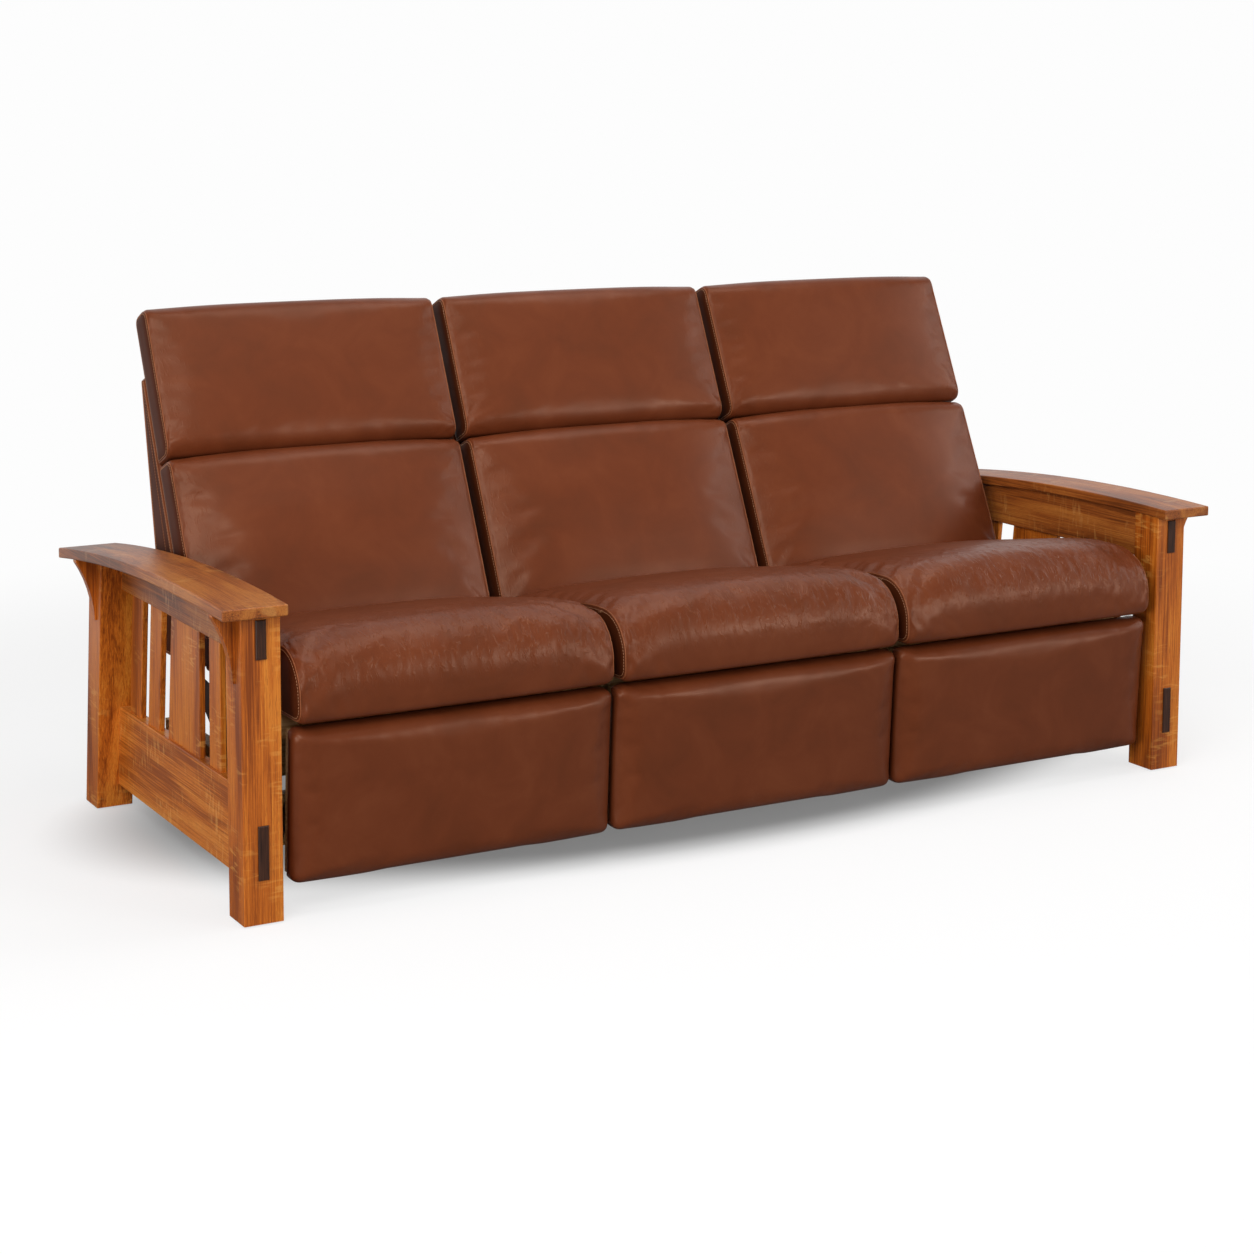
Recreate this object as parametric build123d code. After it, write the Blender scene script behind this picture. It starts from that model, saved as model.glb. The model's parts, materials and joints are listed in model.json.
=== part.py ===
from build123d import *
import math
import os

# A three seat reclining sofa with open oak ends and leather seats. Millimetres, +Z up, the
# front faces -Y and +X is on the right as seen from the front. The origin lies on the floor
# under the middle of the sofa.

os.makedirs("parts", exist_ok=True)

# Oak ends: posts, rails, slats and arm boards
seat_side_gap = 23.0
post_width = 76.0
post_depth = 76.0
rear_post_setback = 846.0
rear_post_rake = 6.4
glide_height = 3.0
arm_height = 594.0
arm_apex_setback = 200.0
arm_radius = 5400.0
arm_board_thickness = 21.0
arm_board_width = 124.0
arm_side_overhang = 43.5
arm_front_overhang = 29.0
arm_tail_setback = 934.0
arm_edge_round = 3.0
wood_ease = 2.0
side_rail_thickness = 26.0
side_rail_inset = 45.0
lower_rail_bottom = 50.0
lower_rail_height = 169.0
upper_rail_height = 101.0
stub_length = 18.0
stub_thickness = 12.0
stub_shoulder = 12.0
slat_thickness = 12.0
slat_stub = 8.0
slat_widths = [62.0, 62.0, 180.0, 67.0, 67.0]
slat_gaps = [64.0, 46.0, 52.0, 54.0, 46.0]
slat_lean_shares = [0.0, 0.1, 0.25, 1.0, 1.0, 1.0]
corbel_reach = 41.0
corbel_height = 128.0
corbel_thickness = 19.0
corbel_foot = 4.0
corbel_hollow = 9.0
corbel_lip = 5.0
tenon_width = 20.0
tenon_depth = 16.0
tenon_proud = 4.0
tenon_bevel = 1.5
lower_tenon_height = 100.0
upper_tenon_height = 72.0
upper_tenon_drop = 13.0

# Base inside the sofa: cross rails, runners, centre legs and their fixings
cross_rail_thickness = 26.0
cross_rail_height = 100.0
cross_rail_bottom = 60.0
front_cross_setback = 250.0
rear_cross_setback = 700.0
runner_width = 30.0
runner_height = 45.0
runner_front_setback = 236.0
runner_rear_setback = 744.0
leg_size = 44.0
glide_radius = 17.0
glide_pin_radius = 3.0
glide_pin_length = 14.0
bracket_leg = 55.0
bracket_sheet = 4.0
bracket_height = 78.0
screw_radius = 3.0
screw_length = 18.0
screw_head_radius = 6.0
screw_head_height = 4.0
screw_edge = 18.0

# Seats: one unit for each sitter, from left to right
seat_names = ["left", "middle", "right"]
seat_pitch = 670.0
cushion_spacing = 16.0
cushion_bottom = 358.0
cushion_front_height = 124.0
cushion_rear_height = 84.0
cushion_overhang = 18.0
cushion_crown = 18.0
cushion_nose_crown = 6.0
cushion_draw_in = 4.0
cushion_corner = 16.0
cushion_rear_setback = 538.0
seat_frame_inset = 9.0
seat_frame_rail = 32.0
seat_frame_height = 45.0
seat_frame_front_setback = 95.0
seat_frame_rear_setback = 462.0
soft_gap = 0.3
spring_wire_radius = 1.9
spring_count = 5
spring_bend_radius = 9.0
spring_half_sweep = 16.0
spring_lead = 24.0
spring_drop = 8.0

# Backs: a padded shell that carries a headrest pillow over a lumbar pillow
back_lean = 24.7
back_seam_setback = 546.0
back_seam_rise = 107.0
back_spacing = 14.0
pillow_depth = 62.0
pillow_corner = 20.0
pillow_draw_in = 5.0
pillow_gap = 4.0
lumbar_drop = 78.0
lumbar_rise = 308.0
lumbar_crown = 58.0
headrest_top = 640.0
headrest_crown = 36.0
headrest_wrap = 10.0
shell_bottom = 345.0
shell_inset = 6.0
shell_rear_lean = 11.4
shell_top_thickness = 22.0
shell_round = 8.0
pillow_room_gap = 3.0

# Footrests: a leather pad on a board that hangs under the front of each seat
pad_spacing = 8.0
pad_height = 290.0
pad_top = 347.0
pad_depth = 45.0
pad_crown = 12.0
pad_corner = 14.0
pad_draw_in = 2.5
pad_lean = 3.1
board_thickness = 15.0
board_inset = 9.0

# Steel mechanism: side plates, folding links, brackets and their pivots
plate_inset = 17.0
plate_thickness = 4.0
plate_flange = 21.0
plate_lip = 12.0
plate_front_setback = 190.0
plate_rear_web = 26.0
running_gap = 0.3
bearing_gap = 0.08
link_thickness = 5.0
link_width = 24.0
link_length = 215.0
stud_radius = 6.0
stud_head_radius = 9.0
stud_head_height = 3.0
drive_pivot_setback = 220.0
drive_pivot_drop = 17.7
drive_tube_radius = 12.7
drive_tube_wall = 1.8
footrest_pivot_setback = 80.0
footrest_pivot_drop = 50.7
footrest_bracket_height = 70.0
footrest_bracket_flange = 26.0
footrest_bracket_sheet = 5.0
back_pivot_setback = 600.0
back_pivot_rise = 5.3
back_pivot_boss = 15.0
back_bracket_length = 175.0

# Places worked out from the sizes above
sofa_depth = cushion_overhang + cushion_nose_crown + arm_tail_setback
front_face_y = cushion_overhang + cushion_nose_crown - sofa_depth / 2
middle_seat = (len(seat_names) - 1) / 2
seat_centres = [(index - middle_seat) * seat_pitch for index in range(len(seat_names))]
pad_half_width = (seat_pitch - pad_spacing) / 2
cushion_half_width = (seat_pitch - cushion_spacing) / 2
back_half_width = (seat_pitch - back_spacing) / 2
shell_half_width = back_half_width - shell_inset
seat_frame_half_width = cushion_half_width - seat_frame_inset
plate_half_width = seat_frame_half_width - plate_inset
back_seam_height = cushion_bottom + back_seam_rise
inner_post_x = seat_centres[-1] + pad_half_width + seat_side_gap
half_frame = inner_post_x + post_width
rail_outer_x = half_frame - side_rail_inset
rail_inner_x = rail_outer_x - side_rail_thickness
slat_outer_x = rail_outer_x - (side_rail_thickness - slat_thickness) / 2
lower_rail_top = lower_rail_bottom + lower_rail_height
upper_rail_top = arm_height - arm_board_thickness
upper_rail_bottom = upper_rail_top - upper_rail_height
front_post_back = front_face_y + post_depth
rake_slope = math.tan(math.radians(rear_post_rake))
cross_rail_top = cross_rail_bottom + cross_rail_height
runner_top = cross_rail_top + runner_height
seat_frame_top = cushion_bottom - soft_gap
seat_frame_bottom = seat_frame_top - seat_frame_height
web_inner_x = plate_half_width - plate_thickness
drive_link_x = web_inner_x - running_gap
outer_link_x = drive_link_x - link_thickness - running_gap
bracket_x = outer_link_x - link_thickness - running_gap
overrun = 5.0


def setback(distance):
    """The Y of a plane that lies this far behind the front face of the front posts."""
    return front_face_y + distance


def raked(distance, height):
    """The Y at this height of a line that leans as the rear posts do."""
    return setback(distance) - height * rake_slope


def side_prism(points, low_x, high_x):
    """A solid with this outline of (Y, Z) points, from low_x to high_x."""
    outline = make_face(Polyline(*points, close=True))
    return extrude(Plane.YZ.offset(low_x) * outline, amount=high_x - low_x)


def block(low, high):
    """A box between two corners."""
    size = [b - a for a, b in zip(low, high)]
    middle = [(a + b) / 2 for a, b in zip(low, high)]
    return Pos(*middle) * Box(*size)


def x_bar(radius, x_start, x_end, y, z):
    """A round bar along X."""
    bar = Cylinder(radius, abs(x_end - x_start), rotation=(0, 90, 0))
    return Pos((x_start + x_end) / 2, y, z) * bar


def eased(solid):
    """The same piece of wood with its four longest edges rounded over."""
    return fillet(solid.edges().sort_by(SortBy.LENGTH)[-4:], wood_ease)


def mirrored(solid):
    """The same solid on the other side of the plane X = 0."""
    return mirror(solid, about=Plane.YZ)


def save(name, *solids):
    """Writes one node, as one solid or as a group of separate solids."""
    pieces = [piece for solid in solids for piece in solid.solids()]
    shape = pieces[0] if len(pieces) == 1 else Compound(children=pieces)
    shape.label = name
    export_step(shape, f"parts/{name}.step")


# The arched line that the arm boards follow
def arch_disc(radius):
    """Everything under an arc of this radius about the arch's centre."""
    centre_y = setback(arm_apex_setback)
    centre_z = arm_height - arm_radius
    reach = half_frame + arm_board_width
    return x_bar(radius, -reach, reach, centre_y, centre_z)


def board_underside(y):
    """The height of the arm board's underside over this Y."""
    radius = arm_radius - arm_board_thickness
    run = y - setback(arm_apex_setback)
    return arm_height - arm_radius + math.sqrt(radius**2 - run**2)


under_board = arch_disc(arm_radius - arm_board_thickness)
arm_top_y = [setback(-arm_front_overhang), setback(arm_tail_setback)]


def make_arm_board():
    low_x = half_frame + arm_side_overhang - arm_board_width
    high_x = half_frame + arm_side_overhang
    deep = arm_height / 2
    slab = block((low_x, arm_top_y[0], deep), (high_x, arm_top_y[1], arm_height + overrun))
    board = (slab & arch_disc(arm_radius)) - under_board
    return fillet(board.edges(), arm_edge_round)


def make_front_post():
    low = (inner_post_x, front_face_y, glide_height)
    high = (half_frame, front_post_back, arm_height)
    return eased(block(low, high) & under_board)


def make_rear_post():
    points = []
    for distance, height in [
        (rear_post_setback, glide_height),
        (rear_post_setback + post_depth, glide_height),
        (rear_post_setback + post_depth, arm_height),
        (rear_post_setback, arm_height),
    ]:
        points.append((raked(distance, height), height))
    return eased(side_prism(points, inner_post_x, half_frame) & under_board)


def rail_between_posts(bottom, top, below):
    """A side rail, cut to what lies below, with a stub at each end that enters its post."""
    body = [
        (front_post_back, bottom),
        (raked(rear_post_setback, bottom), bottom),
        (raked(rear_post_setback, top), top),
        (front_post_back, top),
    ]
    low, high = bottom + stub_shoulder, top - stub_shoulder
    stub = [
        (front_post_back - stub_length, low),
        (raked(rear_post_setback, low) + stub_length, low),
        (raked(rear_post_setback, high) + stub_length, high),
        (front_post_back - stub_length, high),
    ]
    middle_x = (rail_inner_x + rail_outer_x) / 2
    rail = eased(side_prism(body, rail_inner_x, rail_outer_x) & below)
    stubs = side_prism(stub, middle_x - stub_thickness / 2, middle_x + stub_thickness / 2)
    return rail + (stubs & below)


def make_slats():
    """Five slats: upright at the front, leaning with the rear post at the back."""
    low = lower_rail_top - slat_stub
    high = upper_rail_bottom + slat_stub
    slats = []
    edge = post_depth
    for index, (width, gap) in enumerate(zip(slat_widths, slat_gaps)):
        front_edge = edge + gap
        rear_edge = front_edge + width
        lean_front = slat_lean_shares[index] * rake_slope
        lean_rear = slat_lean_shares[index + 1] * rake_slope
        points = [
            (setback(front_edge) - (low - lower_rail_top) * lean_front, low),
            (setback(rear_edge) - (low - lower_rail_top) * lean_rear, low),
            (setback(rear_edge) - (high - lower_rail_top) * lean_rear, high),
            (setback(front_edge) - (high - lower_rail_top) * lean_front, high),
        ]
        slats.append(eased(side_prism(points, slat_outer_x - slat_thickness, slat_outer_x)))
        edge = rear_edge
    return slats


def make_corbel(middle_y):
    """A hollow-fronted bracket under the outer edge of the arm board."""
    seat = board_underside(middle_y)
    foot = seat - corbel_height
    top = seat + corbel_thickness
    half_reach = (corbel_reach + corbel_foot) / 2
    outline = make_face(
        Polyline(
            (half_frame + corbel_foot, foot),
            (half_frame, foot),
            (half_frame, top),
            (half_frame + corbel_reach, top),
            (half_frame + corbel_reach, seat - corbel_lip),
        )
        + ThreePointArc(
            (half_frame + corbel_reach, seat - corbel_lip),
            (half_frame + half_reach - corbel_hollow, seat - (corbel_height + corbel_lip) / 2),
            (half_frame + corbel_foot, foot),
        )
    )
    plane = Plane.XZ.offset(-middle_y - corbel_thickness / 2)
    return extrude(plane * outline, amount=corbel_thickness) & under_board


def make_tenon_end(middle_z, height):
    """The walnut end of a through tenon, standing a little proud of the post."""
    middle_x = half_frame - post_width / 2
    low = (middle_x - tenon_width / 2, front_face_y - tenon_proud, middle_z - height / 2)
    high = (middle_x + tenon_width / 2, front_face_y - tenon_proud + tenon_depth, middle_z + height / 2)
    tenon = block(low, high)
    return chamfer(tenon.faces().sort_by(Axis.Y)[0].edges(), tenon_bevel)


# One oak end, built on the right and mirrored to the left
front_post = make_front_post()
rear_post = make_rear_post()
lower_rail = rail_between_posts(lower_rail_bottom, lower_rail_top, under_board)
upper_rail = rail_between_posts(upper_rail_bottom, upper_rail_top, under_board)
slats = make_slats()
tenon_ends = [
    make_tenon_end((lower_rail_bottom + lower_rail_top) / 2, lower_tenon_height),
    make_tenon_end(upper_rail_top - upper_tenon_drop - upper_tenon_height / 2, upper_tenon_height),
]
corbel_middle_height = board_underside(setback(rear_post_setback)) - corbel_height / 2
rear_corbel_y = raked(rear_post_setback + post_depth / 2, corbel_middle_height)
corbels = [make_corbel(setback(post_depth / 2)), make_corbel(rear_corbel_y)]
front_post = front_post - lower_rail - upper_rail - tenon_ends[0] - tenon_ends[1]
rear_post = rear_post - lower_rail - upper_rail
for slat in slats:
    lower_rail = lower_rail - slat
    upper_rail = upper_rail - slat
arm_board = make_arm_board()


# Cross rails, runners and centre legs
def make_cross_rail(distance):
    low = (-rail_inner_x, setback(distance), cross_rail_bottom)
    high = (rail_inner_x, setback(distance) + cross_rail_thickness, cross_rail_top)
    return block(low, high)


runner_middle_x = plate_half_width - plate_thickness / 2


def make_runners(centre_x):
    runners = []
    for side in (-1, 1):
        middle = centre_x + side * runner_middle_x
        low = (middle - runner_width / 2, setback(runner_front_setback), cross_rail_top)
        high = (middle + runner_width / 2, setback(runner_rear_setback), runner_top)
        runners.append(block(low, high))
    return runners


def glide_at(x, y):
    """A nailed floor glide: a thin disc with its pin in the wood above."""
    disc = Pos(x, y, glide_height / 2) * Cylinder(glide_radius, glide_height)
    pin_top = glide_height + glide_pin_length
    pin = Pos(x, y, (glide_height + pin_top) / 2) * Cylinder(glide_pin_radius, glide_pin_length)
    return disc + pin


leg_places = []
for leg_x in (-seat_pitch / 2, seat_pitch / 2):
    for distance in (front_cross_setback, rear_cross_setback):
        leg_places.append((leg_x, setback(distance) + cross_rail_thickness / 2))
centre_legs = []
for x, y in leg_places:
    low = (x - leg_size / 2, y - leg_size / 2, glide_height)
    high = (x + leg_size / 2, y + leg_size / 2, cross_rail_bottom)
    centre_legs.append(block(low, high))
post_glide_x = half_frame - post_width / 2
front_glide_y = setback(post_depth / 2)
rear_glide_y = raked(rear_post_setback + post_depth / 2, glide_height)
end_glides = [glide_at(post_glide_x, front_glide_y), glide_at(post_glide_x, rear_glide_y)]
leg_glides = [glide_at(x, y) for x, y in leg_places]
front_post = front_post - end_glides[0]
rear_post = rear_post - end_glides[1]
centre_legs = [leg - glide for leg, glide in zip(centre_legs, leg_glides)]


def screw_along(direction, x, y, z):
    """A round headed screw whose head seats at the given point."""
    shank = Cylinder(screw_radius, screw_length + bracket_sheet)
    shank = Pos(0, 0, -(screw_length + bracket_sheet) / 2) * shank
    head = Pos(0, 0, screw_head_height / 2) * Cylinder(screw_head_radius, screw_head_height)
    turn = {"x": Rot(0, -90, 0), "front": Rot(90, 0, 0), "rear": Rot(-90, 0, 0)}[direction]
    return Pos(x, y, z) * turn * (shank + head)


def make_corner(distance, faces_rear):
    """A steel angle that ties a cross rail to a side rail, and its four screws."""
    face_y = setback(distance) + (cross_rail_thickness if faces_rear else 0)
    way = 1 if faces_rear else -1
    low_z = cross_rail_bottom + (cross_rail_height - bracket_height) / 2
    high_z = low_z + bracket_height
    near, far = sorted((face_y, face_y + way * bracket_sheet))
    flat = block((rail_inner_x - bracket_leg, near, low_z), (rail_inner_x, far, high_z))
    near, far = sorted((face_y, face_y + way * bracket_leg))
    upright = block((rail_inner_x - bracket_sheet, near, low_z), (rail_inner_x, far, high_z))
    screws = []
    for z in (low_z + screw_edge, high_z - screw_edge):
        flat_y = face_y + way * bracket_sheet
        turn = "rear" if faces_rear else "front"
        screws.append(screw_along(turn, rail_inner_x - bracket_leg + screw_edge, flat_y, z))
        upright_y = face_y + way * (bracket_leg - screw_edge)
        screws.append(screw_along("x", rail_inner_x - bracket_sheet, upright_y, z))
    angle = flat + upright
    for screw in screws:
        angle = angle - screw
    return angle, screws


front_cross_rail = make_cross_rail(front_cross_setback)
rear_cross_rail = make_cross_rail(rear_cross_setback)
front_angle, front_screws = make_corner(front_cross_setback, True)
rear_angle, rear_screws = make_corner(rear_cross_setback, False)
for screw in front_screws + rear_screws:
    lower_rail = lower_rail - screw
for screw in front_screws:
    front_cross_rail = front_cross_rail - screw - mirrored(screw)
for screw in rear_screws:
    rear_cross_rail = rear_cross_rail - screw - mirrored(screw)


# Crowned cushions, lofted through sections across their length
corner_limit_share = 0.4
nose_depth_shares = [0.0, 0.05, 0.16, 0.36, 0.72]
nose_rise_shares = [0.30, 0.52, 0.74, 0.91, 1.0]
seat_place_shares = [0.25, 0.5, 0.75, 0.94]
seat_fall_shares = [0.0, 0.2, 0.57, 0.9]
seat_draw_shares = [0.8, 1.0, 0.7, 0.1]
seat_crown_shares = [1.0, 1.0, 0.85, 0.5]
seat_tail_share = 0.3
roll_place_shares = [0.0, 0.35, 1.0]
roll_inset_shares = [1.0, 0.3, 0.0]
body_place_shares = [0.12, 0.38, 0.62, 0.88]
body_draw_shares = [0.4, 1.0, 1.0, 0.4]
lumbar_crown_shares = [0.5, 0.7, 0.85, 1.0, 1.0, 0.92, 0.68, 0.5, 0.35, 0.2]
headrest_crown_shares = [0.25, 0.5, 0.7, 0.85, 1.0, 1.0, 0.85, 0.7, 0.5, 0.25]
pad_crown_shares = [0.3, 0.5, 0.75, 0.85, 1.0, 1.0, 0.85, 0.75, 0.5, 0.3]


def cushion_section(half_width, low, high, crown, corner):
    """A section with round corners whose high side rises in one arc between its seams."""
    corner = min(corner, (high - low) * corner_limit_share)
    seam = half_width - corner
    cut = corner * (1 - math.sqrt(0.5))
    edges = [
        Line((-seam, low), (seam, low)),
        ThreePointArc((seam, low), (half_width - cut, low + cut), (half_width, low + corner)),
        Line((half_width, low + corner), (half_width, high - corner)),
        ThreePointArc((half_width, high - corner), (half_width - cut, high - cut), (seam, high)),
        ThreePointArc((seam, high), (0, high + crown), (-seam, high)),
        ThreePointArc((-seam, high), (-half_width + cut, high - cut), (-half_width, high - corner)),
        Line((-half_width, high - corner), (-half_width, low + corner)),
        ThreePointArc((-half_width, low + corner), (-half_width + cut, low + cut), (-seam, low)),
    ]
    return make_face(Curve() + edges)


def cushion_loft(stations, plane_at):
    """A closed cushion through stations of (place, half width, low, high, crown, corner)."""
    sections = []
    for place, half_width, low, high, crown, corner in stations:
        sections.append(plane_at(place) * cushion_section(half_width, low, high, crown, corner))
    return loft(sections, ruled=True)


def rolled_stations(low, high, half_width, depth, edge, draw_in, crown, crown_shares):
    """Stations of a cushion that lies between low and high, with rolled ends, drawn-in
    sides and its front seams at zero."""
    shaped = []
    for place_share, inset_share in zip(roll_place_shares, roll_inset_shares):
        shaped.append((low + edge * place_share, edge * inset_share, 0))
    for place_share, draw_share in zip(body_place_shares, body_draw_shares):
        place = low + edge + (high - low - 2 * edge) * place_share
        shaped.append((place, 0, draw_in * draw_share))
    for place_share, inset_share in zip(reversed(roll_place_shares), reversed(roll_inset_shares)):
        shaped.append((high - edge * place_share, edge * inset_share, 0))
    stations = []
    for (place, inset, draw), crown_share in zip(shaped, crown_shares):
        stations.append(
            (place, half_width - inset - draw, -depth + inset, -inset, crown * crown_share, edge)
        )
    return stations


def make_seat_cushion(centre_x):
    """A seat cushion whose front rolls over, lofted from its nose to its rear edge."""
    low = cushion_bottom
    nose = -cushion_overhang - cushion_nose_crown
    roll = cushion_front_height / 2
    middle = low + roll
    stations = []
    for depth_share, rise_share in zip(nose_depth_shares, nose_rise_shares):
        stations.append(
            (
                nose + roll * depth_share,
                cushion_half_width - cushion_corner * (1 - rise_share),
                middle - roll * rise_share,
                middle + roll * rise_share,
                cushion_crown * rise_share,
                cushion_corner * rise_share,
            )
        )
    front_place = nose + roll
    fall = cushion_front_height - cushion_rear_height
    for place_share, fall_share, draw_share, crown_share in zip(
        seat_place_shares, seat_fall_shares, seat_draw_shares, seat_crown_shares
    ):
        stations.append(
            (
                front_place + (cushion_rear_setback - front_place) * place_share,
                cushion_half_width - cushion_draw_in * draw_share,
                low,
                low + cushion_front_height - fall * fall_share,
                cushion_crown * crown_share,
                cushion_corner,
            )
        )
    inset = cushion_corner / 2
    stations.append(
        (
            cushion_rear_setback,
            cushion_half_width - inset,
            low + inset,
            low + cushion_rear_height - inset,
            cushion_crown * seat_tail_share,
            inset,
        )
    )

    def plane_at(place):
        return Plane(origin=(centre_x, setback(place), 0), x_dir=(1, 0, 0), z_dir=(0, -1, 0))

    return cushion_loft(stations, plane_at)


lean = math.radians(back_lean)
back_up = (math.sin(lean), math.cos(lean))
back_out = (-math.cos(lean), math.sin(lean))


def back_point(rise, out):
    """The (Y, Z) of a point on the back, measured up its front seam and out from it."""
    y = setback(back_seam_setback) + rise * back_up[0] + out * back_out[0]
    z = back_seam_height + rise * back_up[1] + out * back_out[1]
    return y, z


def back_loft(centre_x, stations):
    """A pillow of the back through its stations, which lie square to the front seam."""

    def plane_at(rise):
        y, z = back_point(rise, 0)
        return Plane(origin=(centre_x, y, z), x_dir=(-1, 0, 0), z_dir=(0, *back_up))

    return cushion_loft(stations, plane_at)


def make_lumbar_pillow(centre_x, grow=0.0):
    """The lower back pillow, or the space round it where it is grown."""
    stations = rolled_stations(
        -lumbar_drop - grow,
        lumbar_rise + grow,
        back_half_width + grow,
        pillow_depth,
        pillow_corner,
        pillow_draw_in,
        lumbar_crown,
        lumbar_crown_shares,
    )
    grown = []
    for place, half_width, low, high, crown, corner in stations:
        grown.append((place, half_width, low - grow, high + grow, crown, corner))
    return back_loft(centre_x, grown)


headrest_bottom = lumbar_rise + pillow_gap
headrest_stations = rolled_stations(
    headrest_bottom,
    headrest_top,
    back_half_width,
    pillow_depth,
    pillow_corner,
    pillow_draw_in,
    headrest_crown,
    headrest_crown_shares,
)
wrap_station = len(roll_place_shares) + 2
shell_top_rise = headrest_stations[wrap_station][0]


def make_headrest_pillow(centre_x):
    """The upper pillow, which thickens above the shell and closes over its top."""
    stations = headrest_stations[: wrap_station + 1]
    for place, half_width, low, high, crown, corner in headrest_stations[wrap_station + 1 :]:
        stations = stations + [(place, half_width, low - headrest_wrap, high, crown, corner)]
    return back_loft(centre_x, stations)


def shell_outline():
    """The (Y, Z) corners of the back shell, seen from the side."""
    rear_slope = math.tan(math.radians(shell_rear_lean))
    front_bottom_rise = (shell_bottom - back_point(0, -pillow_depth - soft_gap)[1]) / back_up[1]
    front_bottom = back_point(front_bottom_rise, -pillow_depth - soft_gap)
    front_top = back_point(shell_top_rise, -pillow_depth - soft_gap)
    rear_top = (front_top[0] + shell_top_thickness, front_top[1])
    rear_bottom = (rear_top[0] - (rear_top[1] - shell_bottom) * rear_slope, shell_bottom)
    return [front_bottom, rear_bottom, rear_top, front_top]


def make_back_shell(centre_x):
    low_x, high_x = centre_x - shell_half_width, centre_x + shell_half_width
    shell = side_prism(shell_outline(), low_x, high_x)
    ends = shell.faces().filter_by(Axis.X)
    rear = shell.faces().sort_by(Axis.Y)[-1]
    rounded = ShapeList([edge for edge in rear.edges() if edge in ends.edges()])
    return fillet(rounded, shell_round)


# Footrest panels
def leaned(shape):
    """Tips a panel built upright back about its top front edge."""
    axis = Axis((0, setback(0), pad_top), (1, 0, 0))
    return shape.rotate(axis, pad_lean)


def leaned_point(distance, height):
    angle = math.radians(pad_lean)
    dy, dz = distance, height - pad_top
    return (
        setback(0) + dy * math.cos(angle) - dz * math.sin(angle),
        pad_top + dy * math.sin(angle) + dz * math.cos(angle),
    )


def make_pad(centre_x):
    """A leather footrest pad, flat where it lies on its board."""
    stations = rolled_stations(
        pad_top - pad_height,
        pad_top,
        pad_half_width,
        pad_depth,
        pad_corner,
        pad_draw_in,
        pad_crown,
        pad_crown_shares,
    )
    backed = []
    for place, half_width, low, high, crown, corner in stations:
        backed.append((place, half_width, -pad_depth, high, crown, corner))

    def plane_at(height):
        return Plane(origin=(centre_x, setback(0), height), x_dir=(-1, 0, 0), z_dir=(0, 0, 1))

    return leaned(cushion_loft(backed, plane_at))


def make_footrest_board(centre_x):
    reach = pad_half_width - board_inset
    low = (centre_x - reach, setback(pad_depth), pad_top - pad_height + board_inset)
    high = (centre_x + reach, setback(pad_depth + board_thickness), pad_top - board_inset)
    return leaned(block(low, high))


# Steel mechanism
drive_pivot = (setback(drive_pivot_setback), seat_frame_bottom - drive_pivot_drop)
footrest_pivot = (setback(footrest_pivot_setback), seat_frame_bottom - footrest_pivot_drop)
back_pivot = (setback(back_pivot_setback), seat_frame_bottom + back_pivot_rise)
pivot_span = math.dist(drive_pivot, footrest_pivot)
knee_drop = math.sqrt(link_length**2 - (pivot_span / 2) ** 2)
along = [(b - a) / pivot_span for a, b in zip(drive_pivot, footrest_pivot)]
knee_pivot = (
    (drive_pivot[0] + footrest_pivot[0]) / 2 - along[1] * knee_drop,
    (drive_pivot[1] + footrest_pivot[1]) / 2 + along[0] * knee_drop,
)


def flat_link(start, end, low_x, high_x, holes=(), width=link_width):
    """A flat bar with round ends between two pivots, with a running hole at each of holes."""
    length = math.dist(start, end)
    way = [(b - a) / length for a, b in zip(start, end)]
    side = (-way[1] * width / 2, way[0] * width / 2)
    corners = [
        (start[0] + side[0], start[1] + side[1]),
        (end[0] + side[0], end[1] + side[1]),
        (end[0] - side[0], end[1] - side[1]),
        (start[0] - side[0], start[1] - side[1]),
    ]
    bar = side_prism(corners, low_x, high_x)
    for pivot in (start, end):
        bar = bar + x_bar(width / 2, low_x, high_x, *pivot)
    for pivot in holes:
        bar = bar - x_bar(stud_radius + bearing_gap, low_x - overrun, high_x + overrun, *pivot)
    return bar


def stud(root_x, seat_x, way, pivot):
    """A riveted stud from root_x through a link that ends at seat_x, with its head beyond."""
    head_start = seat_x + way * running_gap
    head_end = head_start + way * stud_head_height
    shank = x_bar(stud_radius, root_x, head_end, *pivot)
    return shank + x_bar(stud_head_radius, head_start, head_end, *pivot)


def make_side_plate():
    """The pressed side plate of the right hand side, with its two pivot studs."""
    base_z = runner_top + running_gap
    front, rear = setback(plate_front_setback), back_pivot[0]
    frame_rear = setback(seat_frame_rear_setback)
    web_points = [
        (front, base_z + plate_rear_web),
        (front, seat_frame_bottom),
        (frame_rear, seat_frame_bottom),
        (rear, back_pivot[1] + back_pivot_boss),
        (rear, back_pivot[1] - back_pivot_boss),
        (frame_rear, base_z),
        (setback(runner_front_setback), base_z),
    ]
    web = side_prism(web_points, web_inner_x, plate_half_width)
    web = web + x_bar(back_pivot_boss, web_inner_x, plate_half_width, *back_pivot)
    flange_x = web_inner_x + plate_flange
    top = block(
        (web_inner_x, front, seat_frame_bottom - plate_thickness),
        (flange_x, frame_rear, seat_frame_bottom),
    )
    lip_x = runner_middle_x + runner_width / 2 + running_gap
    foot = block(
        (web_inner_x, setback(runner_front_setback), base_z),
        (lip_x + plate_thickness, frame_rear, base_z + plate_thickness),
    )
    lip = block(
        (lip_x, setback(runner_front_setback), base_z - plate_lip),
        (lip_x + plate_thickness, frame_rear, base_z + plate_thickness),
    )
    plate = web + top + foot + lip
    plate = plate + stud(web_inner_x, drive_link_x - link_thickness, -1, drive_pivot)
    return plate + stud(web_inner_x, drive_link_x - link_thickness, -1, back_pivot)


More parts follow.
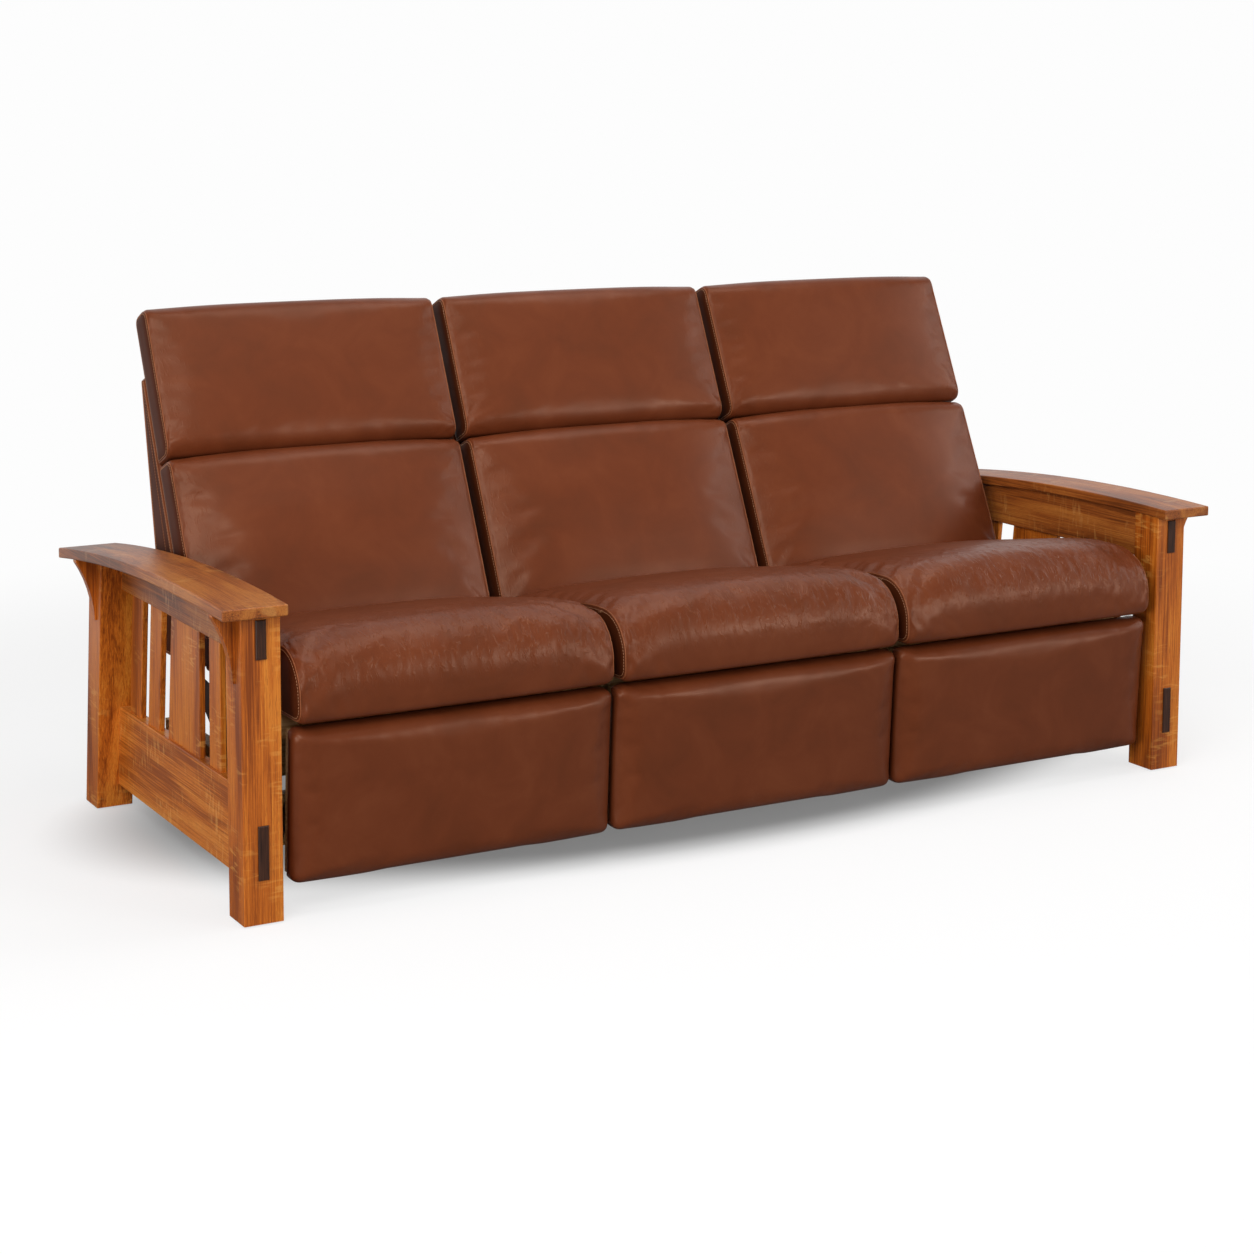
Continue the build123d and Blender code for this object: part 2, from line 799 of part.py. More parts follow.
def make_drive_link():
    low_x = drive_link_x - link_thickness
    link = flat_link(drive_pivot, knee_pivot, low_x, drive_link_x, holes=[drive_pivot])
    return link + stud(low_x, outer_link_x - link_thickness, -1, knee_pivot)


def make_drive_tube():
    reach = drive_link_x - link_thickness
    tube = x_bar(drive_tube_radius, -reach, reach, *drive_pivot)
    return tube - x_bar(drive_tube_radius - drive_tube_wall, -reach - overrun, reach + overrun, *drive_pivot)


def make_extension_link():
    low_x = outer_link_x - link_thickness
    return flat_link(knee_pivot, footrest_pivot, low_x, outer_link_x, holes=[knee_pivot, footrest_pivot])


def make_footrest_bracket():
    """An angle screwed to the back of the board, with the stud that the links carry."""
    low_x = bracket_x - footrest_bracket_sheet
    behind_board = pad_depth + board_thickness
    half = footrest_bracket_height / 2
    lean_angle = math.radians(pad_lean)
    dy = footrest_pivot[0] - setback(0)
    dz = footrest_pivot[1] - pad_top
    local_height = pad_top - dy * math.sin(lean_angle) + dz * math.cos(lean_angle)
    flange = block(
        (bracket_x - footrest_bracket_flange, setback(behind_board), local_height - half),
        (bracket_x, setback(behind_board) + footrest_bracket_sheet, local_height + half),
    )
    ear_points = [
        leaned_point(behind_board, local_height - half),
        leaned_point(behind_board, local_height + half),
        (footrest_pivot[0] + link_width / 4, footrest_pivot[1] + link_width / 2),
        (footrest_pivot[0] + link_width / 4, footrest_pivot[1] - link_width / 2),
    ]
    ear = side_prism(ear_points, low_x, bracket_x)
    ear = ear + x_bar(link_width / 2, low_x, bracket_x, *footrest_pivot)
    return leaned(flange) + ear + stud(bracket_x, outer_link_x, 1, footrest_pivot)


def make_back_bracket():
    """The flat arm that stands in the back shell and turns on the plate's rear stud."""
    low_x = drive_link_x - link_thickness
    end = (
        back_pivot[0] + back_bracket_length * back_up[0],
        back_pivot[1] + back_bracket_length * back_up[1],
    )
    return flat_link(back_pivot, end, low_x, drive_link_x, holes=[back_pivot])


# Seat frame and its springs
def make_seat_frame(centre_x):
    outer_low = (centre_x - seat_frame_half_width, setback(seat_frame_front_setback), seat_frame_bottom)
    outer_high = (centre_x + seat_frame_half_width, setback(seat_frame_rear_setback), seat_frame_top)
    rail = seat_frame_rail
    inner_low = (outer_low[0] + rail, outer_low[1] + rail, outer_low[2] - overrun)
    inner_high = (outer_high[0] - rail, outer_high[1] - rail, outer_high[2] + overrun)
    return block(outer_low, outer_high) - block(inner_low, inner_high)


def zigzag_wire(x):
    """One sinuous spring: a wire that snakes from the front rail to the rear rail."""
    front = setback(seat_frame_front_setback) + seat_frame_rail
    rear = setback(seat_frame_rear_setback) - seat_frame_rail
    z = seat_frame_top - spring_drop
    run = rear - front - 2 * spring_lead
    steps = 2 * int(run // (4 * spring_bend_radius))
    pitch = run / steps
    points = [(x, front, z), (x, front + spring_lead, z)]
    for step in range(steps):
        side = 1 if step % 2 else -1
        y = front + spring_lead + pitch * (step + 1 / 2)
        points.append((x + side * spring_half_sweep, y, z))
    points.append((x, rear - spring_lead, z))
    points.append((x, rear, z))
    path = FilletPolyline(*points, radius=spring_bend_radius / 2)
    section = Plane(origin=points[0], z_dir=(0, 1, 0)) * Circle(spring_wire_radius)
    return sweep(section, path=path)


def make_springs(centre_x):
    inner = 2 * (seat_frame_half_width - seat_frame_rail)
    pitch = inner / spring_count
    first = centre_x - inner / 2 + pitch / 2
    return [zigzag_wire(first + index * pitch) for index in range(spring_count)]


# The ends
ends = {
    "front_post": front_post,
    "rear_post": rear_post,
    "lower_side_rail": lower_rail,
    "upper_side_rail": upper_rail,
    "arm_board": arm_board,
}
for name, solid in ends.items():
    save(f"{name}_right", solid)
    save(f"{name}_left", mirrored(solid))
save("side_slats_right", *slats)
save("side_slats_left", *[mirrored(slat) for slat in slats])
save("corbels", *corbels, *[mirrored(corbel) for corbel in corbels])
save("tenon_ends", *tenon_ends, *[mirrored(tenon) for tenon in tenon_ends])

# The base
save("front_cross_rail", front_cross_rail)
save("rear_cross_rail", rear_cross_rail)
save("centre_legs", *centre_legs)
save("floor_glides", *end_glides, *[mirrored(glide) for glide in end_glides], *leg_glides)
angles = [front_angle, rear_angle]
save("corner_angles", *angles, *[mirrored(angle) for angle in angles])
screws = front_screws + rear_screws
save("corner_screws", *screws, *[mirrored(screw) for screw in screws])
save("base_runners", *[runner for centre in seat_centres for runner in make_runners(centre)])

# The three seats
side_plate = make_side_plate()
drive_link = make_drive_link()
drive_tube = make_drive_tube()
extension_link = make_extension_link()
footrest_bracket = make_footrest_bracket()
back_bracket = make_back_bracket()
for name, centre in zip(seat_names, seat_centres):
    shift = Pos(centre, 0, 0)
    back_arms = [shift * back_bracket, shift * mirrored(back_bracket)]
    pillow_room = make_lumbar_pillow(centre, grow=pillow_room_gap)
    save(f"seat_cushion_{name}", make_seat_cushion(centre) - pillow_room)
    save(f"seat_frame_{name}", make_seat_frame(centre))
    save(f"seat_springs_{name}", *make_springs(centre))
    save(f"side_plates_{name}", shift * side_plate, shift * mirrored(side_plate))
    save(f"back_shell_{name}", make_back_shell(centre) - back_arms[0] - back_arms[1])
    save(f"back_brackets_{name}", *back_arms)
    save(f"lumbar_pillow_{name}", make_lumbar_pillow(centre))
    save(f"headrest_pillow_{name}", make_headrest_pillow(centre))
    save(f"drive_links_{name}", shift * drive_link, shift * mirrored(drive_link), shift * drive_tube)
    save(f"extension_links_{name}", shift * extension_link, shift * mirrored(extension_link))
    save(f"footrest_brackets_{name}", shift * footrest_bracket, shift * mirrored(footrest_bracket))
    save(f"footrest_board_{name}", make_footrest_board(centre))
    save(f"footrest_pad_{name}", make_pad(centre))

for name, pivot in [
    ("drive", drive_pivot),
    ("knee", knee_pivot),
    ("footrest", footrest_pivot),
    ("back", back_pivot),
]:
    print(f"{name} pivot at y {pivot[0]:.3f}, z {pivot[1]:.3f}, at rest")
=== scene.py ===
import math

import bmesh
import bpy
import numpy as np
from mathutils import Matrix, Vector, noise
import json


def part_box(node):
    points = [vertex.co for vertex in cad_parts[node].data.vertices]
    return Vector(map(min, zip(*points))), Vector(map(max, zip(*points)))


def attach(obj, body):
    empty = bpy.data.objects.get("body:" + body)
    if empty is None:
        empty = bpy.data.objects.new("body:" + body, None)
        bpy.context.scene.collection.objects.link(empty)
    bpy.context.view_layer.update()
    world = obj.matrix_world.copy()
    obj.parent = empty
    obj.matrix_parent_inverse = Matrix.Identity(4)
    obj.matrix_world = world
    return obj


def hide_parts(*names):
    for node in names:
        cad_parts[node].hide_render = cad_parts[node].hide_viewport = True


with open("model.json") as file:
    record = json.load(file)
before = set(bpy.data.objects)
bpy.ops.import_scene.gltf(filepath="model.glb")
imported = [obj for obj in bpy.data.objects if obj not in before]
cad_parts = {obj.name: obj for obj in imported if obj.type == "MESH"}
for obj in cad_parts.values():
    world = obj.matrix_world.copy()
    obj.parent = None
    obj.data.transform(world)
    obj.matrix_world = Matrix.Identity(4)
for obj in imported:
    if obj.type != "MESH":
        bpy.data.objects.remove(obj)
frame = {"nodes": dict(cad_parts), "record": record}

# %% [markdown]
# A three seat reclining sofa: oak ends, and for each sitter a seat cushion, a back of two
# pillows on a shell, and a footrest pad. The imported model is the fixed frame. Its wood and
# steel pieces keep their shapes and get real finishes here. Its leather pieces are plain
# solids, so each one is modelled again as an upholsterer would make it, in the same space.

MM = 0.001
SEATS = ["left", "middle", "right"]
scene = bpy.context.scene
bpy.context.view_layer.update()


def placed(name, data):
    """A new object in the scene."""
    item = bpy.data.objects.new(name, data)
    scene.collection.objects.link(item)
    return item


# %% [markdown]
# The photograph looks along the sofa from its left front, from a little above the seats. A
# long lens keeps the boards nearly parallel. The lens, place and angles were solved from
# the posts and rails. A lens shift of a fifth of the frame keeps uprights nearly upright.

# %% The camera
PHOTO_PIXELS = 1254
FOCAL_PIXELS = 2476.8
SENSOR_WIDTH = 36.0
LENS_SHIFT = -0.2
camera_turn = math.radians(-29.742)
camera_rise = math.radians(6.617)
camera_roll = math.radians(0.186)
camera_place = Vector((-2.6366, -4.5181, 1.4966))
camera_data = bpy.data.cameras.new("camera")
camera_data.sensor_width = SENSOR_WIDTH
camera_data.lens = FOCAL_PIXELS / PHOTO_PIXELS * SENSOR_WIDTH
camera_data.shift_y = LENS_SHIFT
camera = placed("camera", camera_data)
backward = Vector((
    math.sin(camera_turn) * math.cos(camera_rise),
    -math.cos(camera_turn) * math.cos(camera_rise),
    math.sin(camera_rise),
))
level = (-backward).cross(Vector((0, 0, 1))).normalized()
upward = level.cross(-backward)
rolled_right = level * math.cos(camera_roll) + upward * math.sin(camera_roll)
rolled_up = upward * math.cos(camera_roll) - level * math.sin(camera_roll)
turn = Matrix((rolled_right, rolled_up, backward)).transposed().to_4x4()
camera.matrix_world = Matrix.Translation(camera_place) @ turn
scene.camera = camera
print("lens", round(camera_data.lens, 1), "mm")

# %% [markdown]
# One helper adds every node of every material: it sets the node's own properties, wires its
# inputs to values or to other nodes, and colours a ramp's stops. Colours are written as sRGB
# hex, as a paint chart gives them, and turned to linear light by `paint`.

# %% Colours and nodes
def paint(code):
    """The linear RGBA of an sRGB hex colour."""
    channels = [int(code[place:place + 2], 16) / 255 for place in (1, 3, 5)]
    linear = [c / 12.92 if c <= 0.04045 else ((c + 0.055) / 1.055) ** 2.4 for c in channels]
    return (*linear, 1.0)


def wire(tree, node, inputs):
    """Fills a node's inputs with values, sockets, or nodes that stand for their first output."""
    for name, value in inputs.items():
        socket = node.inputs[name]
        if isinstance(value, bpy.types.Node):
            value = value.outputs[0]
        if isinstance(value, bpy.types.NodeSocket):
            tree.links.new(value, socket)
        else:
            socket.default_value = value


def add_node(tree, kind, inputs=None, stops=None, **settings):
    """Adds a node with its properties, its inputs and its ramp's stops."""
    node = tree.nodes.new(kind)
    for name, value in settings.items():
        setattr(node, name, value)
    wire(tree, node, inputs or {})
    if stops:
        ramp = node.color_ramp
        while len(ramp.elements) < len(stops):
            ramp.elements.new(0.5)
        for element, (place, code) in zip(ramp.elements, stops):
            element.position = place
            element.color = paint(code)
    return node


def new_material(name):
    """A material with one Principled shader wired to its output."""
    material = bpy.data.materials.new(name)
    material.use_nodes = True
    tree = material.node_tree
    tree.nodes.clear()
    shader = add_node(tree, "ShaderNodeBsdfPrincipled")
    add_node(tree, "ShaderNodeOutputMaterial", {"Surface": shader})
    return material, tree, shader


# %% [markdown]
# The floor is a wide pale plane under a white world. Far from the sofa it fades to the
# backdrop's own white, as a paper sweep does, and near it takes the shadow. Three soft boxes
# make the leather's lights: one high at the left front, for the bands right of each left
# seam, one at the far right, for the bands by each right seam, and one overhead, for the
# seats' noses. Two more, low at the left and at the right front, light the upright faces.
# Gloss sees the white backdrop only behind the sofa, where it stands: the front of the
# studio is dim, so flat leather and varnish mirror nothing bright. The near floor is a mid
# grey that throws little light back, lifted to white for the eye. In an oval under the sofa,
# and a little behind it, the lift is less: that is a painted shadow.

# %% The studio
FLOOR_SIZE = 60.0
SWEEP_START = 1.6
SWEEP_END = 3.2
AMBIENT = 0.22
FLOOR_GLOW = 0.7
# The glow under the sofa and the oval below it make a painted shadow on the floor.
UNDER_GLOW = 0.25 * FLOOR_GLOW
UNDER_SHIFT = (0, -0.15, 0)
UNDER_SHARES = (1 / 1.15, 1 / 0.6, 0)
UNDER_EDGE = (0.85, 1.15)
SKY_BEHIND = (0.1, 0.5)
FLOOR_BEHIND = (1.0, 2.5)


def bright_rays(tree, depth, low, high):
    """1 for the rays that see the studio white: the eye's, and gloss from behind the sofa."""
    ray = add_node(tree, "ShaderNodeLightPath").outputs
    direct = add_node(tree, "ShaderNodeMath", {0: ray["Is Camera Ray"], 1: ray["Is Transmission Ray"]},
                      operation="MAXIMUM")
    behind = add_node(tree, "ShaderNodeMapRange", {"Value": depth, "From Min": low, "From Max": high},
                      interpolation_type="SMOOTHSTEP")
    mirrored = add_node(tree, "ShaderNodeMath", {0: ray["Is Glossy Ray"], 1: behind},
                        operation="MULTIPLY")
    return add_node(tree, "ShaderNodeMath", {0: direct, 1: mirrored},
                    operation="MAXIMUM").outputs[0]


world = bpy.data.worlds.new("studio")
scene.world = world
world.use_nodes = True
sky = world.node_tree
sky.nodes.clear()
toward = add_node(sky, "ShaderNodeTexCoord").outputs["Generated"]
split = add_node(sky, "ShaderNodeSeparateXYZ", {"Vector": toward})
ambient = add_node(sky, "ShaderNodeBackground", {"Color": paint("#ffffff"), "Strength": AMBIENT})
backdrop = add_node(sky, "ShaderNodeBackground", {"Color": paint("#fdfdfd"), "Strength": 1.0})
choice = add_node(sky, "ShaderNodeMixShader", {
    0: bright_rays(sky, split.outputs["Y"], *SKY_BEHIND), 1: ambient, 2: backdrop,
})
add_node(sky, "ShaderNodeOutputWorld", {"Surface": choice})

bpy.ops.mesh.primitive_plane_add(size=FLOOR_SIZE)
floor = bpy.context.active_object
floor.name = "floor"
sweep, tree, shader = new_material("pale_paper_sweep")
spot = add_node(tree, "ShaderNodeTexCoord").outputs["Object"]
parts = add_node(tree, "ShaderNodeSeparateXYZ", {"Vector": spot})
seen = bright_rays(tree, parts.outputs["Y"], *FLOOR_BEHIND)
under = add_node(tree, "ShaderNodeVectorMath", {0: spot, 1: UNDER_SHIFT}, operation="ADD")
squeezed = add_node(tree, "ShaderNodeVectorMath", {0: under, 1: UNDER_SHARES},
                    operation="MULTIPLY")
aside = add_node(tree, "ShaderNodeVectorMath", {0: squeezed}, operation="LENGTH")
# Painted shadow: the floor's glow drops to the under-sofa value inside the oval.
clear = add_node(tree, "ShaderNodeMapRange", {
    "Value": aside.outputs["Value"], "From Min": UNDER_EDGE[0], "From Max": UNDER_EDGE[1],
    "To Min": UNDER_GLOW, "To Max": FLOOR_GLOW,
}, interpolation_type="SMOOTHSTEP")
glow = add_node(tree, "ShaderNodeMath", {0: seen, 1: clear}, operation="MULTIPLY")
wire(tree, shader, {
    "Base Color": paint("#909090"), "Roughness": 0.9,
    "Emission Color": paint("#ffffff"), "Emission Strength": glow,
})
away = add_node(tree, "ShaderNodeVectorMath", {0: spot}, operation="LENGTH")
fade = add_node(tree, "ShaderNodeMapRange", {
    "Value": away.outputs["Value"], "From Min": SWEEP_START, "From Max": SWEEP_END,
}, interpolation_type="SMOOTHSTEP")
far_share = add_node(tree, "ShaderNodeMath", {0: fade, 1: seen}, operation="MULTIPLY")
paper = add_node(tree, "ShaderNodeEmission", {"Color": paint("#fdfdfd"), "Strength": 1.0})
blended = add_node(tree, "ShaderNodeMixShader", {0: far_share, 1: shader, 2: paper})
wire(tree, tree.nodes["Material Output"], {"Surface": blended})
floor.data.materials.append(sweep)

# name: place, target, size in metres, power in watts
SOFT_BOXES = {
    "left_box": ((-3.2, -3.6, 3.6), (-0.2, 0.0, 0.5), (2.6, 1.9), 125),
    "right_box": ((4.2, -1.0, 2.0), (0.3, 0.0, 0.6), (1.8, 2.6), 36),
    "top_box": ((0.2, -0.6, 3.7), (0.0, -0.1, 0.4), (3.6, 1.6), 50),
    "low_fill": ((-5.8, -2.6, 1.1), (-0.6, 0.0, 0.4), (2.4, 1.6), 120),
    "front_fill": ((3.4, -5.6, 1.9), (0.2, 0.0, 0.4), (2.4, 1.6), 115),
}
for name, (place, target, size, power) in SOFT_BOXES.items():
    data = bpy.data.lights.new(name, "AREA")
    data.shape = "RECTANGLE"
    data.size, data.size_y = size
    data.energy = power
    lamp = placed(name, data)
    lamp.location = place
    lamp.rotation_euler = (Vector(target) - Vector(place)).to_track_quat("-Z", "Y").to_euler()
print("studio with", len(SOFT_BOXES), "soft boxes")

# %% [markdown]
# The ends are quartersawn white oak with an amber brown stain. Sawn that way, the year
# rings show as fine straight lines along the board. The rays show in patches, as pale,
# glossy ribbons that lie across the grain. The pores are short dark dashes. Each board has
# its grain along its length, so the patterns are stretched along one axis of its space.

# %% Oak
GRAIN_LINE = 2.6 * MM
GRAIN_RUN = 210 * MM
BOARD_WIDTH = 60 * MM
BOARD_RUN = 420 * MM
FLECK_ACROSS = 42 * MM
FLECK_ALONG = 8 * MM
PATCH_WIDTH = 75 * MM
PATCH_RUN = 130 * MM
PORE_WIDTH = 0.9 * MM
PORE_RUN = 16 * MM
VARNISH_IOR = 1.4
TURN_TO_GRAIN = {"x": (0, 0, 0), "y": (0, 0, math.pi / 2), "z": (0, math.pi / 2, 0)}


def figure(tree, along, width, run, detail, distortion, roughness=0.5):
    """Noise in cells of one width, drawn out by a run along the grain."""
    place = add_node(tree, "ShaderNodeTexCoord").outputs["Object"]
    turned = add_node(tree, "ShaderNodeMapping", {"Vector": place, "Rotation": TURN_TO_GRAIN[along]})
    scaled = add_node(tree, "ShaderNodeMapping", {
        "Vector": turned, "Scale": (1 / run, 1 / width, 1 / width),
    })
    return add_node(tree, "ShaderNodeTexNoise", {
        "Vector": scaled, "Scale": 1.0, "Detail": detail,
        "Distortion": distortion, "Roughness": roughness,
    }).outputs["Fac"]


def oak(name, along, dark, middle, light, fleck):
    """Stained quartersawn oak whose grain runs along one axis."""
    material, tree, shader = new_material(name)
    rings = figure(tree, along, GRAIN_LINE, GRAIN_RUN, 3.0, 0.7, 0.65)
    boards = figure(tree, along, BOARD_WIDTH, BOARD_RUN, 2.0, 0.6)
    rays = figure(tree, along, FLECK_ACROSS, FLECK_ALONG, 1.0, 0.8, 0.4)
    patches = figure(tree, along, PATCH_WIDTH, PATCH_RUN, 1.0, 0.3)
    pores = figure(tree, along, PORE_WIDTH, PORE_RUN, 1.0, 0.0)
    tone = add_node(tree, "ShaderNodeMix", {0: 0.5, 2: rings, 3: boards}, data_type="FLOAT")
    ground = add_node(tree, "ShaderNodeValToRGB", {"Fac": tone},
                      stops=[(0.40, dark), (0.50, middle), (0.60, light)])
    ribbon = add_node(tree, "ShaderNodeMapRange", {"Value": rays, "From Min": 0.54, "From Max": 0.66})
    patch = add_node(tree, "ShaderNodeMapRange", {
        "Value": patches, "From Min": 0.48, "From Max": 0.64, "To Max": 0.4,
    })
    shown = add_node(tree, "ShaderNodeMath", {0: ribbon, 1: patch},
                     operation="MULTIPLY")
    flecked = add_node(tree, "ShaderNodeMix", {0: shown, 6: ground, 7: paint(fleck)}, data_type="RGBA")
    pitted = add_node(tree, "ShaderNodeMapRange", {
        "Value": pores, "From Min": 0.56, "From Max": 0.70, "To Max": 0.45,
    })
    stained = add_node(tree, "ShaderNodeMix", {
        0: pitted, 6: flecked.outputs[2], 7: paint(dark),
    }, data_type="RGBA")
    sheen = add_node(tree, "ShaderNodeMapRange", {"Value": shown, "To Min": 0.42, "To Max": 0.28})
    relief = add_node(tree, "ShaderNodeMath", {0: rings, 1: pitted},
                      operation="SUBTRACT")
    bump = add_node(tree, "ShaderNodeBump", {"Height": relief, "Strength": 0.2, "Distance": 0.4 * MM})
    wire(tree, shader, {
        "Base Color": stained.outputs[2], "Roughness": sheen, "IOR": VARNISH_IOR,
        "Normal": bump,
    })
    return material


# One oak in three tones: the middle tone for the uprights, a lighter copy that paints light onto the lower
# rails, and a darker copy that paints shade onto the upper rails and arm boards.
OAK_TONES = ("#803a08", "#bf6318", "#d6802a", "#e8a650")
PAINTED_LIGHT_OAK_TONES = ("#94480f", "#cb7124", "#dc8c3a", "#ecae5c")
PAINTED_SHADE_OAK_TONES = ("#61300f", "#964f1c", "#b26c2c", "#c98f4e")
oak_upright = oak("quartersawn_oak_upright", "z", *OAK_TONES)
oak_painted_light = oak("quartersawn_oak_painted_light", "y", *PAINTED_LIGHT_OAK_TONES)
oak_painted_shade = oak("quartersawn_oak_painted_shade", "y", *PAINTED_SHADE_OAK_TONES)
print("oak ready")

# %% [markdown]
# The other hard finishes are simple ones. Walnut is a dark, close wood, used for the tenon
# ends. The hidden base is plain hardwood with no finish. The mechanism is pressed steel,
# black powder coat over a faint orange peel; the springs are oiled wire, the corner angles
# are zinc plated, and the glides are moulded nylon.

# %% Walnut, plain hardwood, steel and nylon
def plain_wood(name, dark, light, rough, along, width, run):
    """A wood with fine grain lines and no rays."""
    material, tree, shader = new_material(name)
    grain = figure(tree, along, width, run, 4.0, 0.5)
    ground = add_node(tree, "ShaderNodeValToRGB", {"Fac": grain},
                      stops=[(0.35, dark), (0.65, light)])
    bump = add_node(tree, "ShaderNodeBump", {"Height": grain, "Strength": 0.2, "Distance": 0.3 * MM})
    wire(tree, shader, {
        "Base Color": ground, "Roughness": rough, "IOR": VARNISH_IOR,
        "Normal": bump,
    })
    return material


def coated(name, colour, metallic, rough, grit, depth):
    """A hard finish with a fine even relief of the given grit size."""
    material, tree, shader = new_material(name)
    place = add_node(tree, "ShaderNodeTexCoord").outputs["Object"]
    speckle = add_node(tree, "ShaderNodeTexNoise", {"Vector": place, "Scale": 1 / grit, "Detail": 2.0})
    tint = add_node(tree, "ShaderNodeMapRange", {
        "Value": speckle, "To Min": rough - 0.06, "To Max": rough + 0.08,
    })
    bump = add_node(tree, "ShaderNodeBump", {"Height": speckle, "Strength": 0.15, "Distance": depth})
    wire(tree, shader, {
        "Base Color": paint(colour), "Metallic": metallic, "Roughness": tint,
        "Normal": bump,
    })
    return material


walnut = plain_wood("dark_walnut", "#24120b", "#4a2a1a", 0.36, "z", 1.6 * MM, 60 * MM)
hardwood = plain_wood("plain_sawn_hardwood", "#a98453", "#cfae7c", 0.62, "x", 5 * MM, 220 * MM)
black_steel = coated("black_powder_coated_steel", "#17171a", 0.0, 0.42, 1.5 * MM, 0.1 * MM)
zinc_steel = coated("zinc_plated_steel", "#b9bab4", 1.0, 0.34, 4 * MM, 0.05 * MM)
spring_steel = coated("oiled_spring_wire", "#6f6d69", 1.0, 0.30, 2 * MM, 0.05 * MM)
nylon = coated("moulded_nylon", "#2a211c", 0.0, 0.50, 1 * MM, 0.05 * MM)

# %% [markdown]
# The frame's own pieces take their finish by name. Posts, slats and corbels stand, so their
# grain is upright; the rails and arm boards run from front to back. The lower rails take a
# lighter copy of the oak, which is painted light, and the upper rails and arm boards take a
# darker copy, which is painted shade.

# %% Finishes of the imported pieces
UPRIGHT = ("front_post", "rear_post", "side_slats", "corbels")
LENGTHWISE = ("lower_side_rail",)
BOARDS = ("upper_side_rail", "arm_board")
slot_of = {item["node"]: item["material_slot"] for item in frame["record"]["subparts"]}
by_slot = {
    "walnut": walnut, "hardwood": hardwood, "black_steel": black_steel,
    "spring_steel": spring_steel, "zinc_steel": zinc_steel, "glide_plastic": nylon,
}


def finish_of(node):
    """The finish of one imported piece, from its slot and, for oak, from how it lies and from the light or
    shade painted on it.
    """
    if node.startswith(UPRIGHT):
        return oak_upright
    if node.startswith(LENGTHWISE):
        return oak_painted_light
    if node.startswith(BOARDS):
        return oak_painted_shade
    return by_slot.get(slot_of[node])


for node, piece in frame["nodes"].items():
    finish = finish_of(node)
    if finish:
        piece.data.materials.clear()
        piece.data.materials.append(finish)
print("finished", sum(1 for node in frame["nodes"] if finish_of(node)), "packed pieces")

# %% [markdown]
# The leather is a glossy chestnut brown pull-up hide. Its colour is uneven, darker in soft
# clouds, and it pales where it is stretched and creased. Up close it has a fine pebbled
# grain, drawn here a little coarser than life so that it shows. The creases are short and
# mostly upright. They follow a vertex attribute, `crease`, which is strong where a cushion
# is sat on and folded, and nothing on the smooth faces. The boxing panels, marked by the
# attribute `kind`, are duller, and their colour is painted darker: a painted shade for the
# gaps between the cushions, where most of them lie.

# %% Leather
SEAM, STITCHING, BOXING = 1.0, 2.0, 3.0
PEBBLE = 1.7 * MM
CLOUD = 120 * MM
CREASE_WIDTH = 8 * MM
CREASE_RUN = 30 * MM
LEATHER_IOR = 1.4
WAX_TINT = "#f4d2b8"


